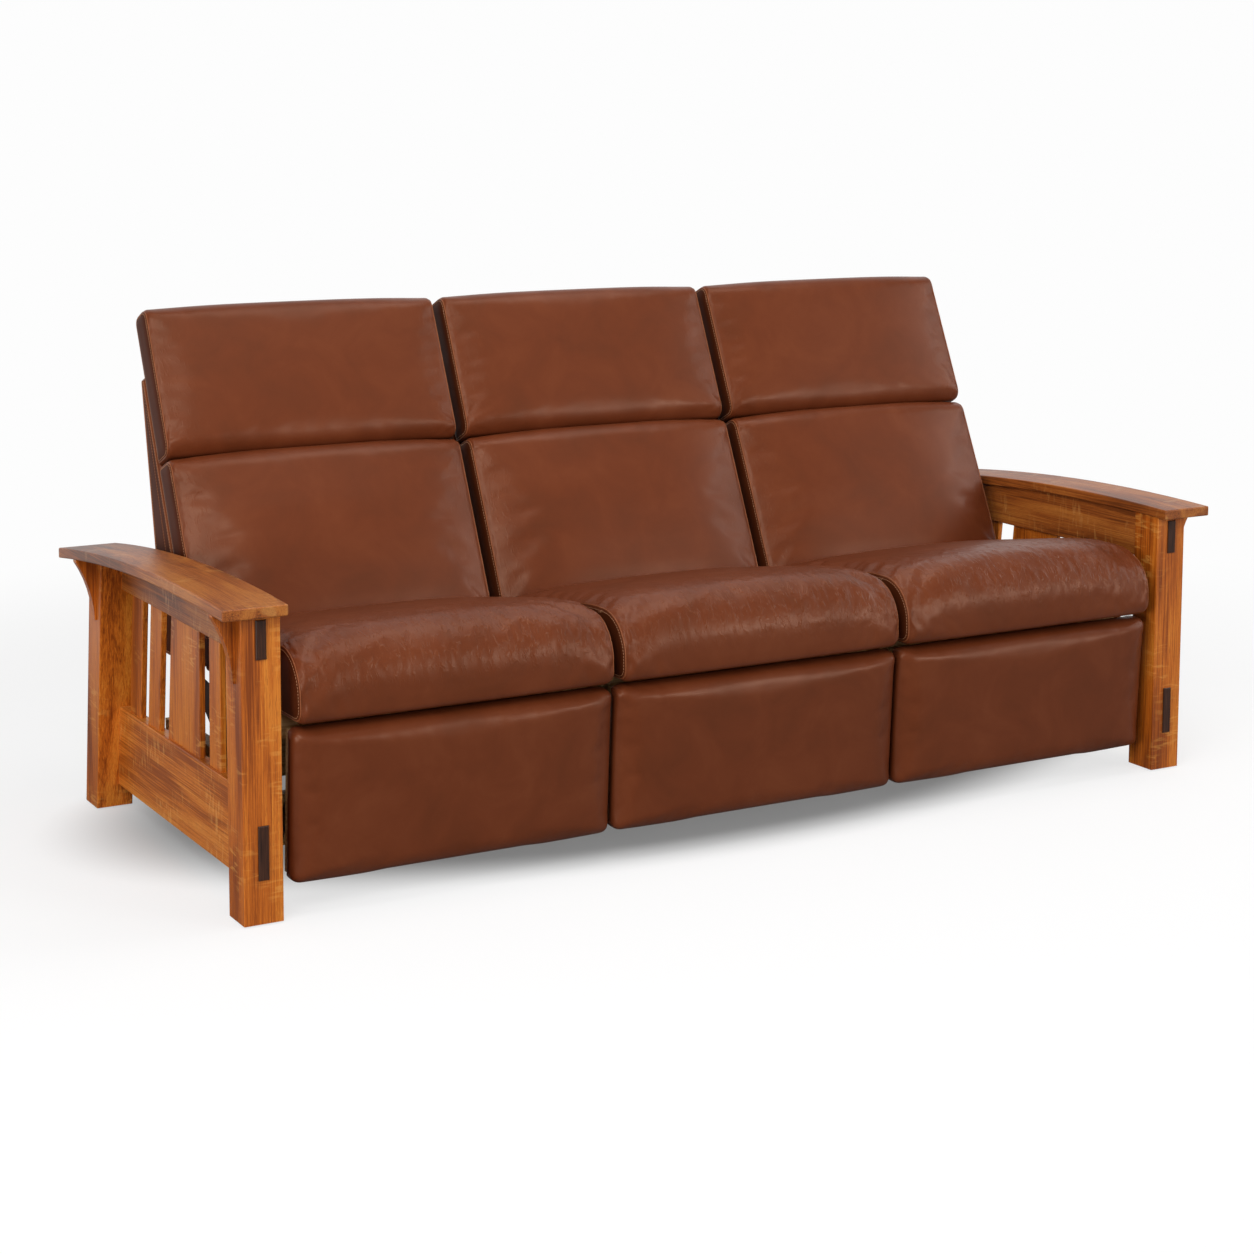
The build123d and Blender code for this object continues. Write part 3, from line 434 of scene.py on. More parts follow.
def leather(name, dark, middle, light, pale):
    """Glossy pull-up leather: clouded colour, pebbled grain and pale creases."""
    material, tree, shader = new_material(name)
    place = add_node(tree, "ShaderNodeTexCoord").outputs["Object"]
    clouds = add_node(tree, "ShaderNodeTexNoise", {
        "Vector": place, "Scale": 1 / CLOUD, "Detail": 5.0, "Roughness": 0.62, "Distortion": 0.5,
    })
    ground = add_node(tree, "ShaderNodeValToRGB", {"Fac": clouds},
                      stops=[(0.30, dark), (0.50, middle), (0.72, light)])
    sway = add_node(tree, "ShaderNodeTexNoise", {"Vector": place, "Scale": 0.6 / CREASE_RUN, "Detail": 2.0})
    swayed = add_node(tree, "ShaderNodeVectorMath",
                      {0: sway.outputs["Color"], "Scale": 0.9 * CREASE_RUN}, operation="SCALE")
    bent = add_node(tree, "ShaderNodeVectorMath", {0: place, 1: swayed}, operation="ADD")
    squeezed = add_node(tree, "ShaderNodeMapping", {
        "Vector": bent, "Scale": (1 / CREASE_WIDTH, 1 / CREASE_RUN, 1 / CREASE_RUN),
    })
    cells = add_node(tree, "ShaderNodeTexVoronoi", {
        "Vector": squeezed, "Scale": 1.0,
    }, feature="DISTANCE_TO_EDGE")
    edge = add_node(tree, "ShaderNodeMapRange", {
        "Value": cells, "From Min": 0.0, "From Max": 0.16,
        "To Min": 1.0, "To Max": 0.0,
    }, interpolation_type="SMOOTHSTEP")
    gate = add_node(tree, "ShaderNodeTexNoise", {
        "Vector": place, "Scale": 0.7 / CREASE_WIDTH, "Detail": 1.0,
    })
    gated = add_node(tree, "ShaderNodeMapRange", {"Value": gate, "From Min": 0.46, "From Max": 0.68})
    worn = add_node(tree, "ShaderNodeAttribute", attribute_name="crease")
    partly = add_node(tree, "ShaderNodeMath", {0: edge, 1: gated},
                      operation="MULTIPLY")
    crease = add_node(tree, "ShaderNodeMath", {0: partly, 1: worn.outputs["Fac"]},
                      operation="MULTIPLY", use_clamp=True)
    paled = add_node(tree, "ShaderNodeMath", {0: crease, 1: 0.14}, operation="MULTIPLY")
    coloured = add_node(tree, "ShaderNodeMix", {0: paled, 6: ground, 7: paint(pale)}, data_type="RGBA")
    panel = add_node(tree, "ShaderNodeAttribute", attribute_name="kind")
    # Painted shade: the boxing's colour is mixed towards near black and its gloss lowered, to darken the
    # gaps between the cushions.
    boxed = add_node(tree, "ShaderNodeMapRange", {
        "Value": panel.outputs["Fac"], "From Min": SEAM, "From Max": STITCHING, "To Max": 0.55,
    })
    colour_with_painted_shade = add_node(tree, "ShaderNodeMix", {
        0: boxed, 6: coloured.outputs[2], 7: paint("#260f06"),
    }, data_type="RGBA")
    pebbles = add_node(tree, "ShaderNodeTexVoronoi", {"Vector": place, "Scale": 1 / PEBBLE})
    gloss = add_node(tree, "ShaderNodeMapRange", {
        "Value": clouds, "From Min": 0.3, "From Max": 0.7,
        "To Min": 0.42, "To Max": 0.34,
    })
    duller = add_node(tree, "ShaderNodeMix", {0: boxed, 2: gloss, 3: 0.6},
                      data_type="FLOAT")
    shine = add_node(tree, "ShaderNodeMapRange", {
        "Value": boxed, "From Max": 0.55, "To Min": 0.5, "To Max": 0.08,
    })
    grain = add_node(tree, "ShaderNodeBump", {"Height": pebbles, "Strength": 0.10, "Distance": 0.25 * MM})
    folds = add_node(tree, "ShaderNodeBump", {
        "Height": crease, "Strength": 0.75, "Distance": 1.2 * MM,
        "Normal": grain,
    })
    wire(tree, shader, {
        "Base Color": colour_with_painted_shade.outputs[2], "Roughness": duller, "IOR": LEATHER_IOR,
        "Specular IOR Level": shine, "Specular Tint": paint(WAX_TINT),
        "Normal": folds,
    })
    return material


chestnut = leather("chestnut_pull_up_leather", "#602d16", "#683119", "#70381f", "#9c5f3c")
# The beads' leather is paler than the cushions': a painted highlight along the seam edges.
bead_leather_painted_highlight = leather("seam_bead_leather_painted_highlight", "#83492a", "#8c5030", "#945838", "#a9714a")
thread = coated("waxed_thread", "#a87450", 0.0, 0.55, 0.6 * MM, 0.05 * MM)
print("leather ready")

# %% [markdown]
# Every cushion here has the same make: a main panel wraps round a side outline, and two
# flat boxing panels close the ends, joined by seams. So one maker builds them all. It needs
# the side outline, drawn with round corners, which the next cell spaces evenly.

# %% Outlines with round corners
ARC_STEPS = 12


def rounded_outline(corners, radii, spacing):
    """Evenly spaced points round an anticlockwise outline whose corners are arcs."""
    dense = []
    for index, (corner, radius) in enumerate(zip(corners, radii)):
        corner = np.array(corner)
        back = np.array(corners[index - 1]) - corner
        ahead = np.array(corners[(index + 1) % len(corners)]) - corner
        back, ahead = back / np.linalg.norm(back), ahead / np.linalg.norm(ahead)
        half = math.acos(np.clip(back @ ahead, -1, 1)) / 2
        middle = (back + ahead) / np.linalg.norm(back + ahead)
        centre = corner + middle * radius / math.sin(half)
        start = corner + back * radius / math.tan(half) - centre
        first = math.atan2(start[1], start[0])
        for step in range(ARC_STEPS + 1):
            angle = first + (math.pi - 2 * half) * step / ARC_STEPS
            dense.append(centre + radius * np.array([math.cos(angle), math.sin(angle)]))
    loop = np.array(dense + dense[:1])
    lengths = np.r_[0, np.cumsum(np.linalg.norm(np.diff(loop, axis=0), axis=1))]
    count = 2 * round(lengths[-1] / spacing / 2)
    places = np.arange(count) * lengths[-1] / count
    points = np.stack([np.interp(places, lengths, loop[:, axis]) for axis in (0, 1)], 1)
    return points, places


def outward(points):
    """The outward normals of an anticlockwise closed outline."""
    along = np.roll(points, -1, 0) - np.roll(points, 1, 0)
    along /= np.linalg.norm(along, axis=1, keepdims=True)
    return np.stack([along[:, 1], -along[:, 0]], 1)


# %% [markdown]
# The maker sweeps the outline from one end to the other. A crown swells the middle, and
# near each end the panel rolls over towards its seam. A boxing panel then closes each end
# with rings that shrink to a line. Three numbers are kept on every vertex: how far it is
# along the outline, how far across, and whether it is on a seam or in a boxing panel.

# %% The cushion maker
GRID = 10 * MM
STITCH_INSET = 3.5 * MM
RING_SHARES = [0.0, 0.25, 0.5, 0.78]
ROLL_SHARES = [0.3, 0.55, 0.78, 1.0]
BULGE_AT_SEAM = 0.45


def column_places(half_width, roll, turn_over):
    """Places across a cushion, and how far the rolled end has drawn in at each of them."""
    flat = half_width - roll * math.sin(turn_over)
    steps = round(2 * flat / GRID)
    middle = [(-flat + 2 * flat * step / steps, 0.0) for step in range(steps + 1)]
    rolled = []
    for share in ROLL_SHARES:
        angle = turn_over * share
        rolled.append((flat + roll * math.sin(angle), roll * (1 - math.cos(angle))))
    return [(-x, inset) for x, inset in reversed(rolled)] + middle + rolled


def boxed_cushion(name, outline, spine, half_width, to_row, swell, power, roll, turn_over, bulge):
    """A boxed cushion. swell gives the crown at each outline point from the normals, and
    power how flat the crown is across. roll and turn_over are the radius and angle of the
    rolled ends, and bulge is how far the boxing stands out."""
    points, places = outline
    normals = outward(points)
    crown = swell(points, normals)
    count = len(points)
    verts, faces, along, across, kind = [], [], [], [], []

    def add_ring(x, ring, mark):
        verts.extend((x, a, b) for a, b in ring)
        along.extend(places)
        across.extend([x] * count)
        kind.extend([mark] * count)

    def join(low, high):
        for step in range(count):
            after = (step + 1) % count
            faces.append((low + step, low + after, high + after, high + step))

    columns = column_places(half_width - bulge, roll, turn_over)
    for number, (x, inset) in enumerate(columns):
        full = 1 - abs(x / half_width) ** power
        mark = SEAM if number in (0, len(columns) - 1) else 0.0
        add_ring(x, points + normals * (crown * full - inset)[:, None], mark)
    for number in range(len(columns) - 1):
        join(number * count, (number + 1) * count)
    start, end = np.array(spine[0]), np.array(spine[1])
    reach = end - start
    for side in (-1, 1):
        base = 0 if side < 0 else (len(columns) - 1) * count
        seam_ring = np.array(verts[base:base + count])[:, 1:]
        share = np.clip(((seam_ring - start) @ reach) / (reach @ reach), 0, 1)
        core = start + share[:, None] * reach
        depth = np.linalg.norm(core - seam_ring, axis=1, keepdims=True)
        stitched = seam_ring + (core - seam_ring) * np.minimum(1, STITCH_INSET / np.maximum(depth, MM))
        for ring_share in RING_SHARES:
            rise = math.sin(math.pi / 2 * min(1, 2 * ring_share))
            out = bulge * (BULGE_AT_SEAM + (1 - BULGE_AT_SEAM) * rise)
            first = len(verts)
            add_ring(side * (half_width - bulge + out), stitched + (core - stitched) * ring_share,
                     BOXING if ring_share else STITCHING)
            join(base, first)
            base = first
        tip = int(np.argmax((seam_ring - start) @ reach))
        for step in range(count // 2):
            ring = [tip + step, tip + step + 1, tip - step - 1, tip - step]
            ring = [base + place % count for place in ring]
            faces.append(tuple(dict.fromkeys(ring)))
    faces = [face for face in faces if len(face) > 2]
    mesh = bpy.data.meshes.new(name)
    mesh.from_pydata([to_row(*vert) for vert in verts], [], faces)
    for label, values in (("along", along), ("across", across), ("kind", kind)):
        mesh.attributes.new(label, "FLOAT", "POINT").data.foreach_set("value", values)
    tidy = bmesh.new()
    tidy.from_mesh(mesh)
    bmesh.ops.recalc_face_normals(tidy, faces=tidy.faces)
    tidy.to_mesh(mesh)
    tidy.free()
    return placed(name, mesh)


# %% [markdown]
# The stuffing pushes the cover out and the seams hold it. The cloth simulation does just
# that: the seams, the boxing and the hidden faces are pinned, air pressure fills the rest,
# and the cover is a little too large, so it puckers where it is held. How far a point may
# move is capped, and the result is kept as a plain mesh with one subdivision.

# %% Filling and subdividing
FIELDS = ("along", "across", "kind")
FILL_FRAMES = 12
FILL_PRESSURE = 4.0


def read(items, label, width):
    """One property of all of a mesh's items, as rows of numbers."""
    values = np.zeros(len(items) * width)
    items.foreach_get(label, values)
    return values.reshape(-1, width)


def read_points(mesh):
    return read(mesh.vertices, "co", 3)


def measures(mesh):
    """Each vertex's place and normal, and its numbers along, across and kind."""
    numbers = [read(mesh.attributes[label].data, "value", 1)[:, 0] for label in FIELDS]
    return read_points(mesh), read(mesh.vertex_normals, "vector", 3), *numbers


def write_points(mesh, points):
    mesh.vertices.foreach_set("co", np.ascontiguousarray(points).ravel())
    mesh.update()


def fill(piece, held, cap, spare):
    """Fills a cushion by cloth pressure. held is 1 where the cover can't move, cap limits
    the move, and a spare below zero makes the cover larger by that share."""
    start = read_points(piece.data)
    group = piece.vertex_groups.new(name="held")
    for index, weight in enumerate(held):
        if weight > 0:
            group.add([index], float(weight), "REPLACE")
    cloth = piece.modifiers.new("fill", "CLOTH")
    settings = cloth.settings
    settings.vertex_group_mass = "held"
    settings.quality = 6
    settings.mass = 0.4
    settings.tension_stiffness = settings.compression_stiffness = 25
    settings.shear_stiffness = 10
    settings.bending_stiffness = 1.2
    settings.use_pressure = True
    settings.uniform_pressure_force = FILL_PRESSURE
    settings.shrink_min = spare
    settings.effector_weights.gravity = 0
    cloth.point_cache.frame_start, cloth.point_cache.frame_end = 1, FILL_FRAMES
    for number in range(1, FILL_FRAMES + 1):
        scene.frame_set(number)
    depsgraph = bpy.context.evaluated_depsgraph_get()
    moved = read_points(piece.evaluated_get(depsgraph).data) - start
    piece.modifiers.remove(cloth)
    piece.vertex_groups.remove(group)
    scene.frame_set(1)
    reach = np.linalg.norm(moved, axis=1)
    moved *= (np.minimum(reach, cap) / np.maximum(reach, 1e-9))[:, None]
    write_points(piece.data, start + moved)
    return reach.max()


def filled(piece, node, can_move, cap, spare):
    points, _, _, _, kind = measures(piece.data)
    free = (kind < 0.5) & can_move(points)
    print(node, "moved", round(fill(piece, 1.0 - free, cap, spare) / MM, 1), "mm")


def baked(item):
    """The mesh that an object's modifiers make, smooth shaded."""
    depsgraph = bpy.context.evaluated_depsgraph_get()
    mesh = bpy.data.meshes.new_from_object(item.evaluated_get(depsgraph))
    mesh.polygons.foreach_set("use_smooth", [True] * len(mesh.polygons))
    return mesh


def subdivide(piece):
    """Applies one subdivision and keeps the vertex fields."""
    modifier = piece.modifiers.new("smooth", "SUBSURF")
    modifier.levels = modifier.render_levels = 1
    mesh = baked(piece)
    piece.modifiers.remove(modifier)
    old, piece.data = piece.data, mesh
    bpy.data.meshes.remove(old)


# %% [markdown]
# Simulation leaves the broad folds. The small ones come from the sewing: short puckers
# that start at the end seams and die out across the panel, and fans of folds that pull
# from a cushion's corners. They are moves of the vertices along their normals, driven by
# ridged noise over each cushion's own measures, so that they follow the seams.

# %% Puckers
FOLD_WIDTH = 14 * MM
FOLD_RUN = 46 * MM
PULL_DEPTH = 3.6 * MM
PULL_FADE = 34 * MM
PULL_FOLDS = 3.4
RIDGE_SHARPNESS = 3.2
RIDGE_MIDDLE = 0.35
SEAM_HELD = 12 * MM


def ridge(value):
    """Turns smooth noise about zero to sharp-topped ridges from 0 to 1."""
    return max(0.0, 1 - abs(value) * RIDGE_SHARPNESS)


def pucker(piece, half_width, seed, where, creased, depth, spacing, fade, folds=0.0, pull=None):
    """Puckers from both end seams, and long folds where the piece is creased. where and
    creased take (along, across, place) and give a share from 0 to 1. pull gives how far a
    place is from the height of the corners that folds pull from."""
    mesh = piece.data
    points, normals, along, across, kind = measures(mesh)
    worn = np.zeros(len(points))
    for index, place in enumerate(points):
        if kind[index] > 0.5:
            continue
        inland = half_width - abs(across[index])
        weight = where(along[index], across[index], place)
        worn[index] = creased(along[index], across[index], place)
        rise = 0.0
        if folds and worn[index] > 0:
            spot = Vector((across[index] / FOLD_WIDTH, along[index] / FOLD_RUN, seed + 11.1))
            sway = noise.noise(spot * 0.5) * 1.6
            rise = folds * worn[index] * (ridge(noise.noise(spot + Vector((sway, 0, 0)))) - 0.3)
        if inland < 4 * fade:
            side = 31.7 if across[index] > 0 else 0.0
            spot = Vector((along[index] / spacing, inland / (3.5 * spacing), seed + side))
            fold = ridge(noise.noise(spot)) - RIDGE_MIDDLE
            rise += depth * weight * fold * math.exp(-inland / fade)
        aside = pull(place) if pull else 1.0
        reach = math.hypot(aside, inland)
        if reach < 3 * PULL_FADE:
            side = 17.3 if across[index] > 0 else 0.0
            turned = math.atan2(aside, inland) * PULL_FOLDS
            spot = Vector((turned, reach / (4 * PULL_FADE), seed + side))
            fold = ridge(noise.noise(spot)) - RIDGE_MIDDLE
            rise += PULL_DEPTH * weight * fold * math.exp(-reach / PULL_FADE)
        points[index] += normals[index] * rise * min(1.0, inland / SEAM_HELD)
    write_points(mesh, points)
    mesh.attributes.new("crease", "FLOAT", "POINT").data.foreach_set("value", worn)


# %% [markdown]
# Each seam is a folded edge of leather with a row of stitches beside it. Geometry Nodes
# draw both along the seam's own line: a thin bead sweeps along the curve, and short
# stitches are set out on it at a fixed pitch, so a new pitch or bead is one number.

# %% A geometry nodes tree for seams
STITCH_PITCH = 6.0 * MM
STITCH_LENGTH = 4.2 * MM
STITCH_RADIUS = 0.65 * MM
BEAD_RADIUS = 1.2 * MM
BEAD_LIFT = 0.3 * MM
STITCH_LIFT = 0.2 * MM
SEAM_SIZES = {
    "Pitch": STITCH_PITCH, "Stitch length": STITCH_LENGTH, "Stitch radius": STITCH_RADIUS,
    "Bead radius": BEAD_RADIUS,
}


def seam_tree():
    """A bead, or a row of stitches where the switch is on, along a loop of edges."""
    tree = bpy.data.node_groups.new("seam", "GeometryNodeTree")
    kinds = {"Geometry": "Geometry", "Stitched": "Bool", **dict.fromkeys(SEAM_SIZES, "Float"),
             "Finish": "Material"}
    for label, kind in kinds.items():
        tree.interface.new_socket(label, in_out="INPUT", socket_type="NodeSocket" + kind)
    tree.interface.new_socket("Geometry", in_out="OUTPUT", socket_type="NodeSocketGeometry")
    given = add_node(tree, "NodeGroupInput")
    line = add_node(tree, "GeometryNodeMeshToCurve", {"Mesh": given.outputs["Geometry"]})
    ring = add_node(tree, "GeometryNodeCurvePrimitiveCircle",
                    {"Resolution": 6, "Radius": given.outputs["Bead radius"]})
    bead = add_node(tree, "GeometryNodeCurveToMesh",
                    {"Curve": line, "Profile Curve": ring})
    spots = add_node(tree, "GeometryNodeCurveToPoints",
                     {"Curve": line, "Length": given.outputs["Pitch"]}, mode="LENGTH")
    stitch = add_node(tree, "GeometryNodeMeshCylinder", {
        "Vertices": 6, "Radius": given.outputs["Stitch radius"],
        "Depth": given.outputs["Stitch length"],
    }, fill_type="TRIANGLE_FAN")
    row = add_node(tree, "GeometryNodeInstanceOnPoints", {
        "Points": spots, "Instance": stitch,
        "Rotation": spots.outputs["Rotation"],
    })
    chosen = add_node(tree, "GeometryNodeSwitch", {
        "Switch": given.outputs["Stitched"], "False": bead, "True": row,
    }, input_type="GEOMETRY")
    real = add_node(tree, "GeometryNodeRealizeInstances", {"Geometry": chosen})
    done = add_node(tree, "GeometryNodeSetMaterial",
                    {"Geometry": real, "Material": given.outputs["Finish"]})
    add_node(tree, "NodeGroupOutput", {0: done})
    return tree


seam_nodes = seam_tree()


def loops_of(piece, mark, lift):
    """The two closed loops of one kind of vertex on a cushion, lifted off its surface."""
    points, normals, along, across, kind = measures(piece.data)
    loops = []
    for side in (-1, 1):
        chosen = np.where((np.abs(kind - mark) < 0.02) & (across * side > 0))[0]
        chosen = chosen[np.argsort(along[chosen])]
        loops.append(points[chosen] + normals[chosen] * lift)
    return loops


def make_seams(name, loops, body, stitched, finish):
    """One mesh of beads, or of stitches, for one body."""
    mesh = bpy.data.meshes.new(name)
    verts, edges = [], []
    for loop in loops:
        first = len(verts)
        verts += [tuple(point) for point in loop]
        edges += [(first + step, first + (step + 1) % len(loop)) for step in range(len(loop))]
    mesh.from_pydata(verts, edges, [])
    lines = placed(name + "_lines", mesh)
    modifier = lines.modifiers.new("seam", "NODES")
    modifier.node_group = seam_nodes
    values = {**SEAM_SIZES, "Stitched": stitched, "Finish": finish}
    for item in seam_nodes.interface.items_tree:
        if item.in_out == "INPUT" and item.name in values:
            modifier[item.identifier] = values[item.name]
    sewn = baked(lines)
    bpy.data.objects.remove(lines)
    bpy.data.meshes.remove(mesh)
    sewn.name = name
    piece = placed(name, sewn)
    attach(piece, body)
    return len(sewn.polygons)


# %% [markdown]
# The backs and the footrests lean, so their outlines are drawn square and then tipped. A
# lean frame turns a row place to (out, up) and back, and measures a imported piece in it.

# %% Leaning measures
BACK_LEAN = math.radians(24.7)
PAD_LEAN = math.radians(-3.1)


class Lean:
    """Places measured out from and up along a plane that leans back by an angle."""

    def __init__(self, angle):
        self.up = np.array([math.sin(angle), math.cos(angle)])
        self.out = np.array([-math.cos(angle), math.sin(angle)])

    def to_row(self, x, out, up):
        y, z = self.out * out + self.up * up
        return x, y, z

    def out_of(self, place):
        return place[1] * self.out[0] + place[2] * self.out[1]

    def up_of(self, place):
        return place[1] * self.up[0] + place[2] * self.up[1]

    def box(self, node):
        """The lowest and highest (x, out, up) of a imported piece."""
        points = read_points(frame["nodes"][node].data)
        flat = points[:, 1:]
        leaned = np.stack([points[:, 0], flat @ self.out, flat @ self.up], 1)
        return leaned.min(0), leaned.max(0)


def extreme(node, direction):
    """The (y, z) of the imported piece's point that lies furthest in a direction."""
    points = read_points(frame["nodes"][node].data)[:, 1:]
    return points[int(np.argmax(points @ np.array(direction)))]


back_lean = Lean(BACK_LEAN)
pad_lean = Lean(PAD_LEAN)


def upright(x, y, z):
    """The placing of an outline drawn in the sofa's own (y, z)."""
    return x, y, z


def shifted(to_row, centre):
    """The same placing, moved along the sofa to a seat's centre."""
    return lambda x, a, b: to_row(x + centre, a, b)


def smooth_step(value, low, high):
    share = min(1.0, max(0.0, (value - low) / (high - low)))
    return share * share * (3 - 2 * share)


def facing(normals, direction, power):
    """How far each normal faces a direction, from 0 to 1, sharpened by a power."""
    return np.clip(normals @ np.array(direction), 0, 1) ** power


def everywhere(along, across, place):
    return 1.0


def nowhere(along, across, place):
    return 0.0


def finished(piece, body, fill_share, *nodes):
    """Gives a leather piece its finish, hangs it on its body and hides the imported pieces it replaces."""
    piece.data.materials.clear()
    piece.data.materials.append(chestnut)
    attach(piece, body)
    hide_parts(*nodes)
    return piece


# %% [markdown]
# A seat cushion is a thick bench of foam with a waterfall front: its top rolls over a
# broad nose and goes on to the underside in one panel. The top is level in front, falls
# towards the back, and is crowned. Behind, the cushion is hollowed, because the lumbar
# pillow swells into it.

# %% Seat cushions
PILLOW_DEPTH = 76 * MM
LUMBAR_CROWN = 44 * MM
SEAT_LIFT = 15 * MM
SEAT_CROWN = 19 * MM
NOSE_CROWN = 7 * MM
SEAT_CREST = 150 * MM
SEAT_FALL = 66 * MM
SEAT_DOME_RADIUS = 520 * MM
NOSE_TOP_RADIUS = 92 * MM
NOSE_BOTTOM_RADIUS = 27 * MM
SEAT_REAR_GAP = 4 * MM
SEAT_REAR_RADII = [8 * MM, 14 * MM]
SEAT_HOLLOW = LUMBAR_CROWN - 4 * MM
SEAT_EDGE = 20 * MM
SEAT_SEWING = {"power": 2.8, "roll": 13 * MM, "turn_over": math.radians(62), "bulge": 6 * MM}
SEAT_FILLING = {"cap": 6 * MM, "spare": -0.03}
SEAT_PUCKERS = {"depth": 1.7 * MM, "spacing": 15 * MM, "fade": 36 * MM, "folds": 2.2 * MM}
SEAT_HELD_FOOT = 12 * MM
SEAT_HELD_REAR = 60 * MM
SEAT_SPINE_FRONT = 58 * MM
SEAT_SPINE_REAR = (45 * MM, 42 * MM)
NOSE_WORN = (160 * MM, 330 * MM)
NOSE_CREASED = (120 * MM, 260 * MM)


def make_seat(seat, index):
    node = f"seat_cushion_{seat}"
    low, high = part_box(node)
    centre = (low.x + high.x) / 2
    half_width = (high.x - low.x) / 2
    nose = low.y + NOSE_CROWN
    front_top = high.z + SEAT_LIFT - SEAT_CROWN
    lumbar_low = back_lean.box(f"lumbar_pillow_{seat}")[0]
    rear_line = lumbar_low[1] + PILLOW_DEPTH + SEAT_REAR_GAP

    def rear_y(z):
        """Where the seam plane of the back, with its gap, stands at this height."""
        return (rear_line - z * back_lean.out[1]) / back_lean.out[0]

    rear_top_z = front_top - SEAT_FALL
    corners = [
        (nose, front_top),
        (nose, low.z),
        (rear_y(low.z), low.z),
        (rear_y(rear_top_z), rear_top_z),
        (nose + SEAT_CREST, front_top),
    ]
    radii = [NOSE_TOP_RADIUS, NOSE_BOTTOM_RADIUS, *SEAT_REAR_RADII, SEAT_DOME_RADIUS]
    outline = rounded_outline(corners, radii, GRID)

    def swell(points, normals):
        top = facing(normals, (0, 1), 1.2) * SEAT_CROWN
        front = facing(normals, (-1, 0), 2) * NOSE_CROWN
        return top + front - facing(normals, -back_lean.out, 6) * SEAT_HOLLOW

    middle_z = (low.z + front_top) / 2
    spine = [
        (nose + SEAT_SPINE_FRONT, middle_z),
        (rear_y(low.z) - SEAT_SPINE_REAR[0], low.z + SEAT_SPINE_REAR[1]),
    ]
    piece = boxed_cushion(f"seat_cushion_{seat}_leather", outline, spine, half_width,
                          shifted(upright, centre), swell, **SEAT_SEWING)

    def can_move(points):
        return (points[:, 2] > low.z + SEAT_HELD_FOOT) & (points[:, 1] < rear_y(low.z) - SEAT_HELD_REAR)

    filled(piece, node, can_move, **SEAT_FILLING)
    subdivide(piece)

    def where(along, across, place):
        lift = smooth_step(place[2], low.z + SEAT_EDGE, front_top - SEAT_EDGE)
        near = 1 - smooth_step(place[1] - nose, *NOSE_WORN)
        right = 0.65 + 0.35 * smooth_step(across, -0.1, 0.3)
        return lift * (0.35 + 0.65 * near) * right

    def creased(along, across, place):
        return where(along, across, place) * (1 - smooth_step(place[1] - nose, *NOSE_CREASED))

    pucker(piece, half_width, index * 7.3, where, creased, **SEAT_PUCKERS)
    return finished(piece, f"carriage_{seat}", 0.8, node)


seat_pieces = {seat: make_seat(seat, index) for index, seat in enumerate(SEATS)}
print("seats", len(seat_pieces))

# %% [markdown]
# A back is two soft pillows on one shell. The lumbar pillow is fullest low down. The
# headrest pillow rolls in at its foot, so that a deep crease lies between them, and rises
# above the shell. Both are boxed at the sides and stitched along the boxing.

# %% Back pillows
HEADREST_CROWN = 22 * MM
PILLOW_ROLL = 20 * MM
CREASE_ROLL = 26 * MM
CREASE_LIFT = 9 * MM
PILLOW_GAP = 3 * MM
PILLOW_REAR_RADIUS = 6 * MM
HEADREST_TOP_RADII = [24 * MM, 18 * MM]
PILLOW_SEWING = {"power": 3.3, "roll": 9 * MM, "turn_over": math.radians(58), "bulge": 5 * MM}
PILLOW_FILLING = {"cap": 2.5 * MM, "spare": -0.01}
PILLOW_PUCKERS = {"depth": 0.8 * MM, "spacing": 15 * MM, "fade": 24 * MM}
PILLOW_HELD = 12 * MM
PILLOW_FACE = (-24 * MM, -4 * MM)
PILLOW_CREASED = (30 * MM, 110 * MM)


def make_pillow(seat, kind_name, index, crown, rise_shares, radii, lifts, pull_high, seed):
    node = f"{kind_name}_pillow_{seat}"
    low, high = back_lean.box(node)
    low[2] += lifts[0]
    high[2] += lifts[1]
    centre = (low[0] + high[0]) / 2
    half_width = (high[0] - low[0]) / 2 - PILLOW_GAP
    seam_out = back_lean.box(f"lumbar_pillow_{seat}")[0][1] + PILLOW_DEPTH
    rear_out = seam_out - PILLOW_DEPTH
    corners = [(seam_out, high[2]), (rear_out, high[2]), (rear_out, low[2]), (seam_out, low[2])]
    outline = rounded_outline(corners, radii, GRID)
    height = high[2] - low[2]

    def swell(points, normals):
        rise = np.clip((points[:, 1] - low[2]) / height, 0, 1)
        shape = np.interp(rise, np.linspace(0, 1, len(rise_shares)), rise_shares)
        return facing(normals, (1, 0), 1.2) * crown * shape

    half = PILLOW_DEPTH / 2
    spine = [(seam_out - half, low[2] + half), (seam_out - half, high[2] - half)]
    piece = boxed_cushion(f"{node}_leather", outline, spine, half_width,
                          shifted(back_lean.to_row, centre), swell, **PILLOW_SEWING)

    def can_move(points):
        return points[:, 1:] @ back_lean.out > seam_out - PILLOW_HELD

    filled(piece, node, can_move, **PILLOW_FILLING)
    subdivide(piece)

    def where(along, across, place):
        return smooth_step(back_lean.out_of(place) - seam_out, *PILLOW_FACE)

    def creased(along, across, place):
        inland = half_width - abs(across)
        return 0.25 * where(along, across, place) * (1 - smooth_step(inland, *PILLOW_CREASED))

    def pull(place):
        corner = high[2] - CREASE_ROLL if pull_high else low[2] + CREASE_ROLL
        return abs(back_lean.up_of(place) - corner)

    pucker(piece, half_width, seed + index * 5.1, where, creased, pull=pull, **PILLOW_PUCKERS)
    return finished(piece, f"back_{seat}", 0.7, node)


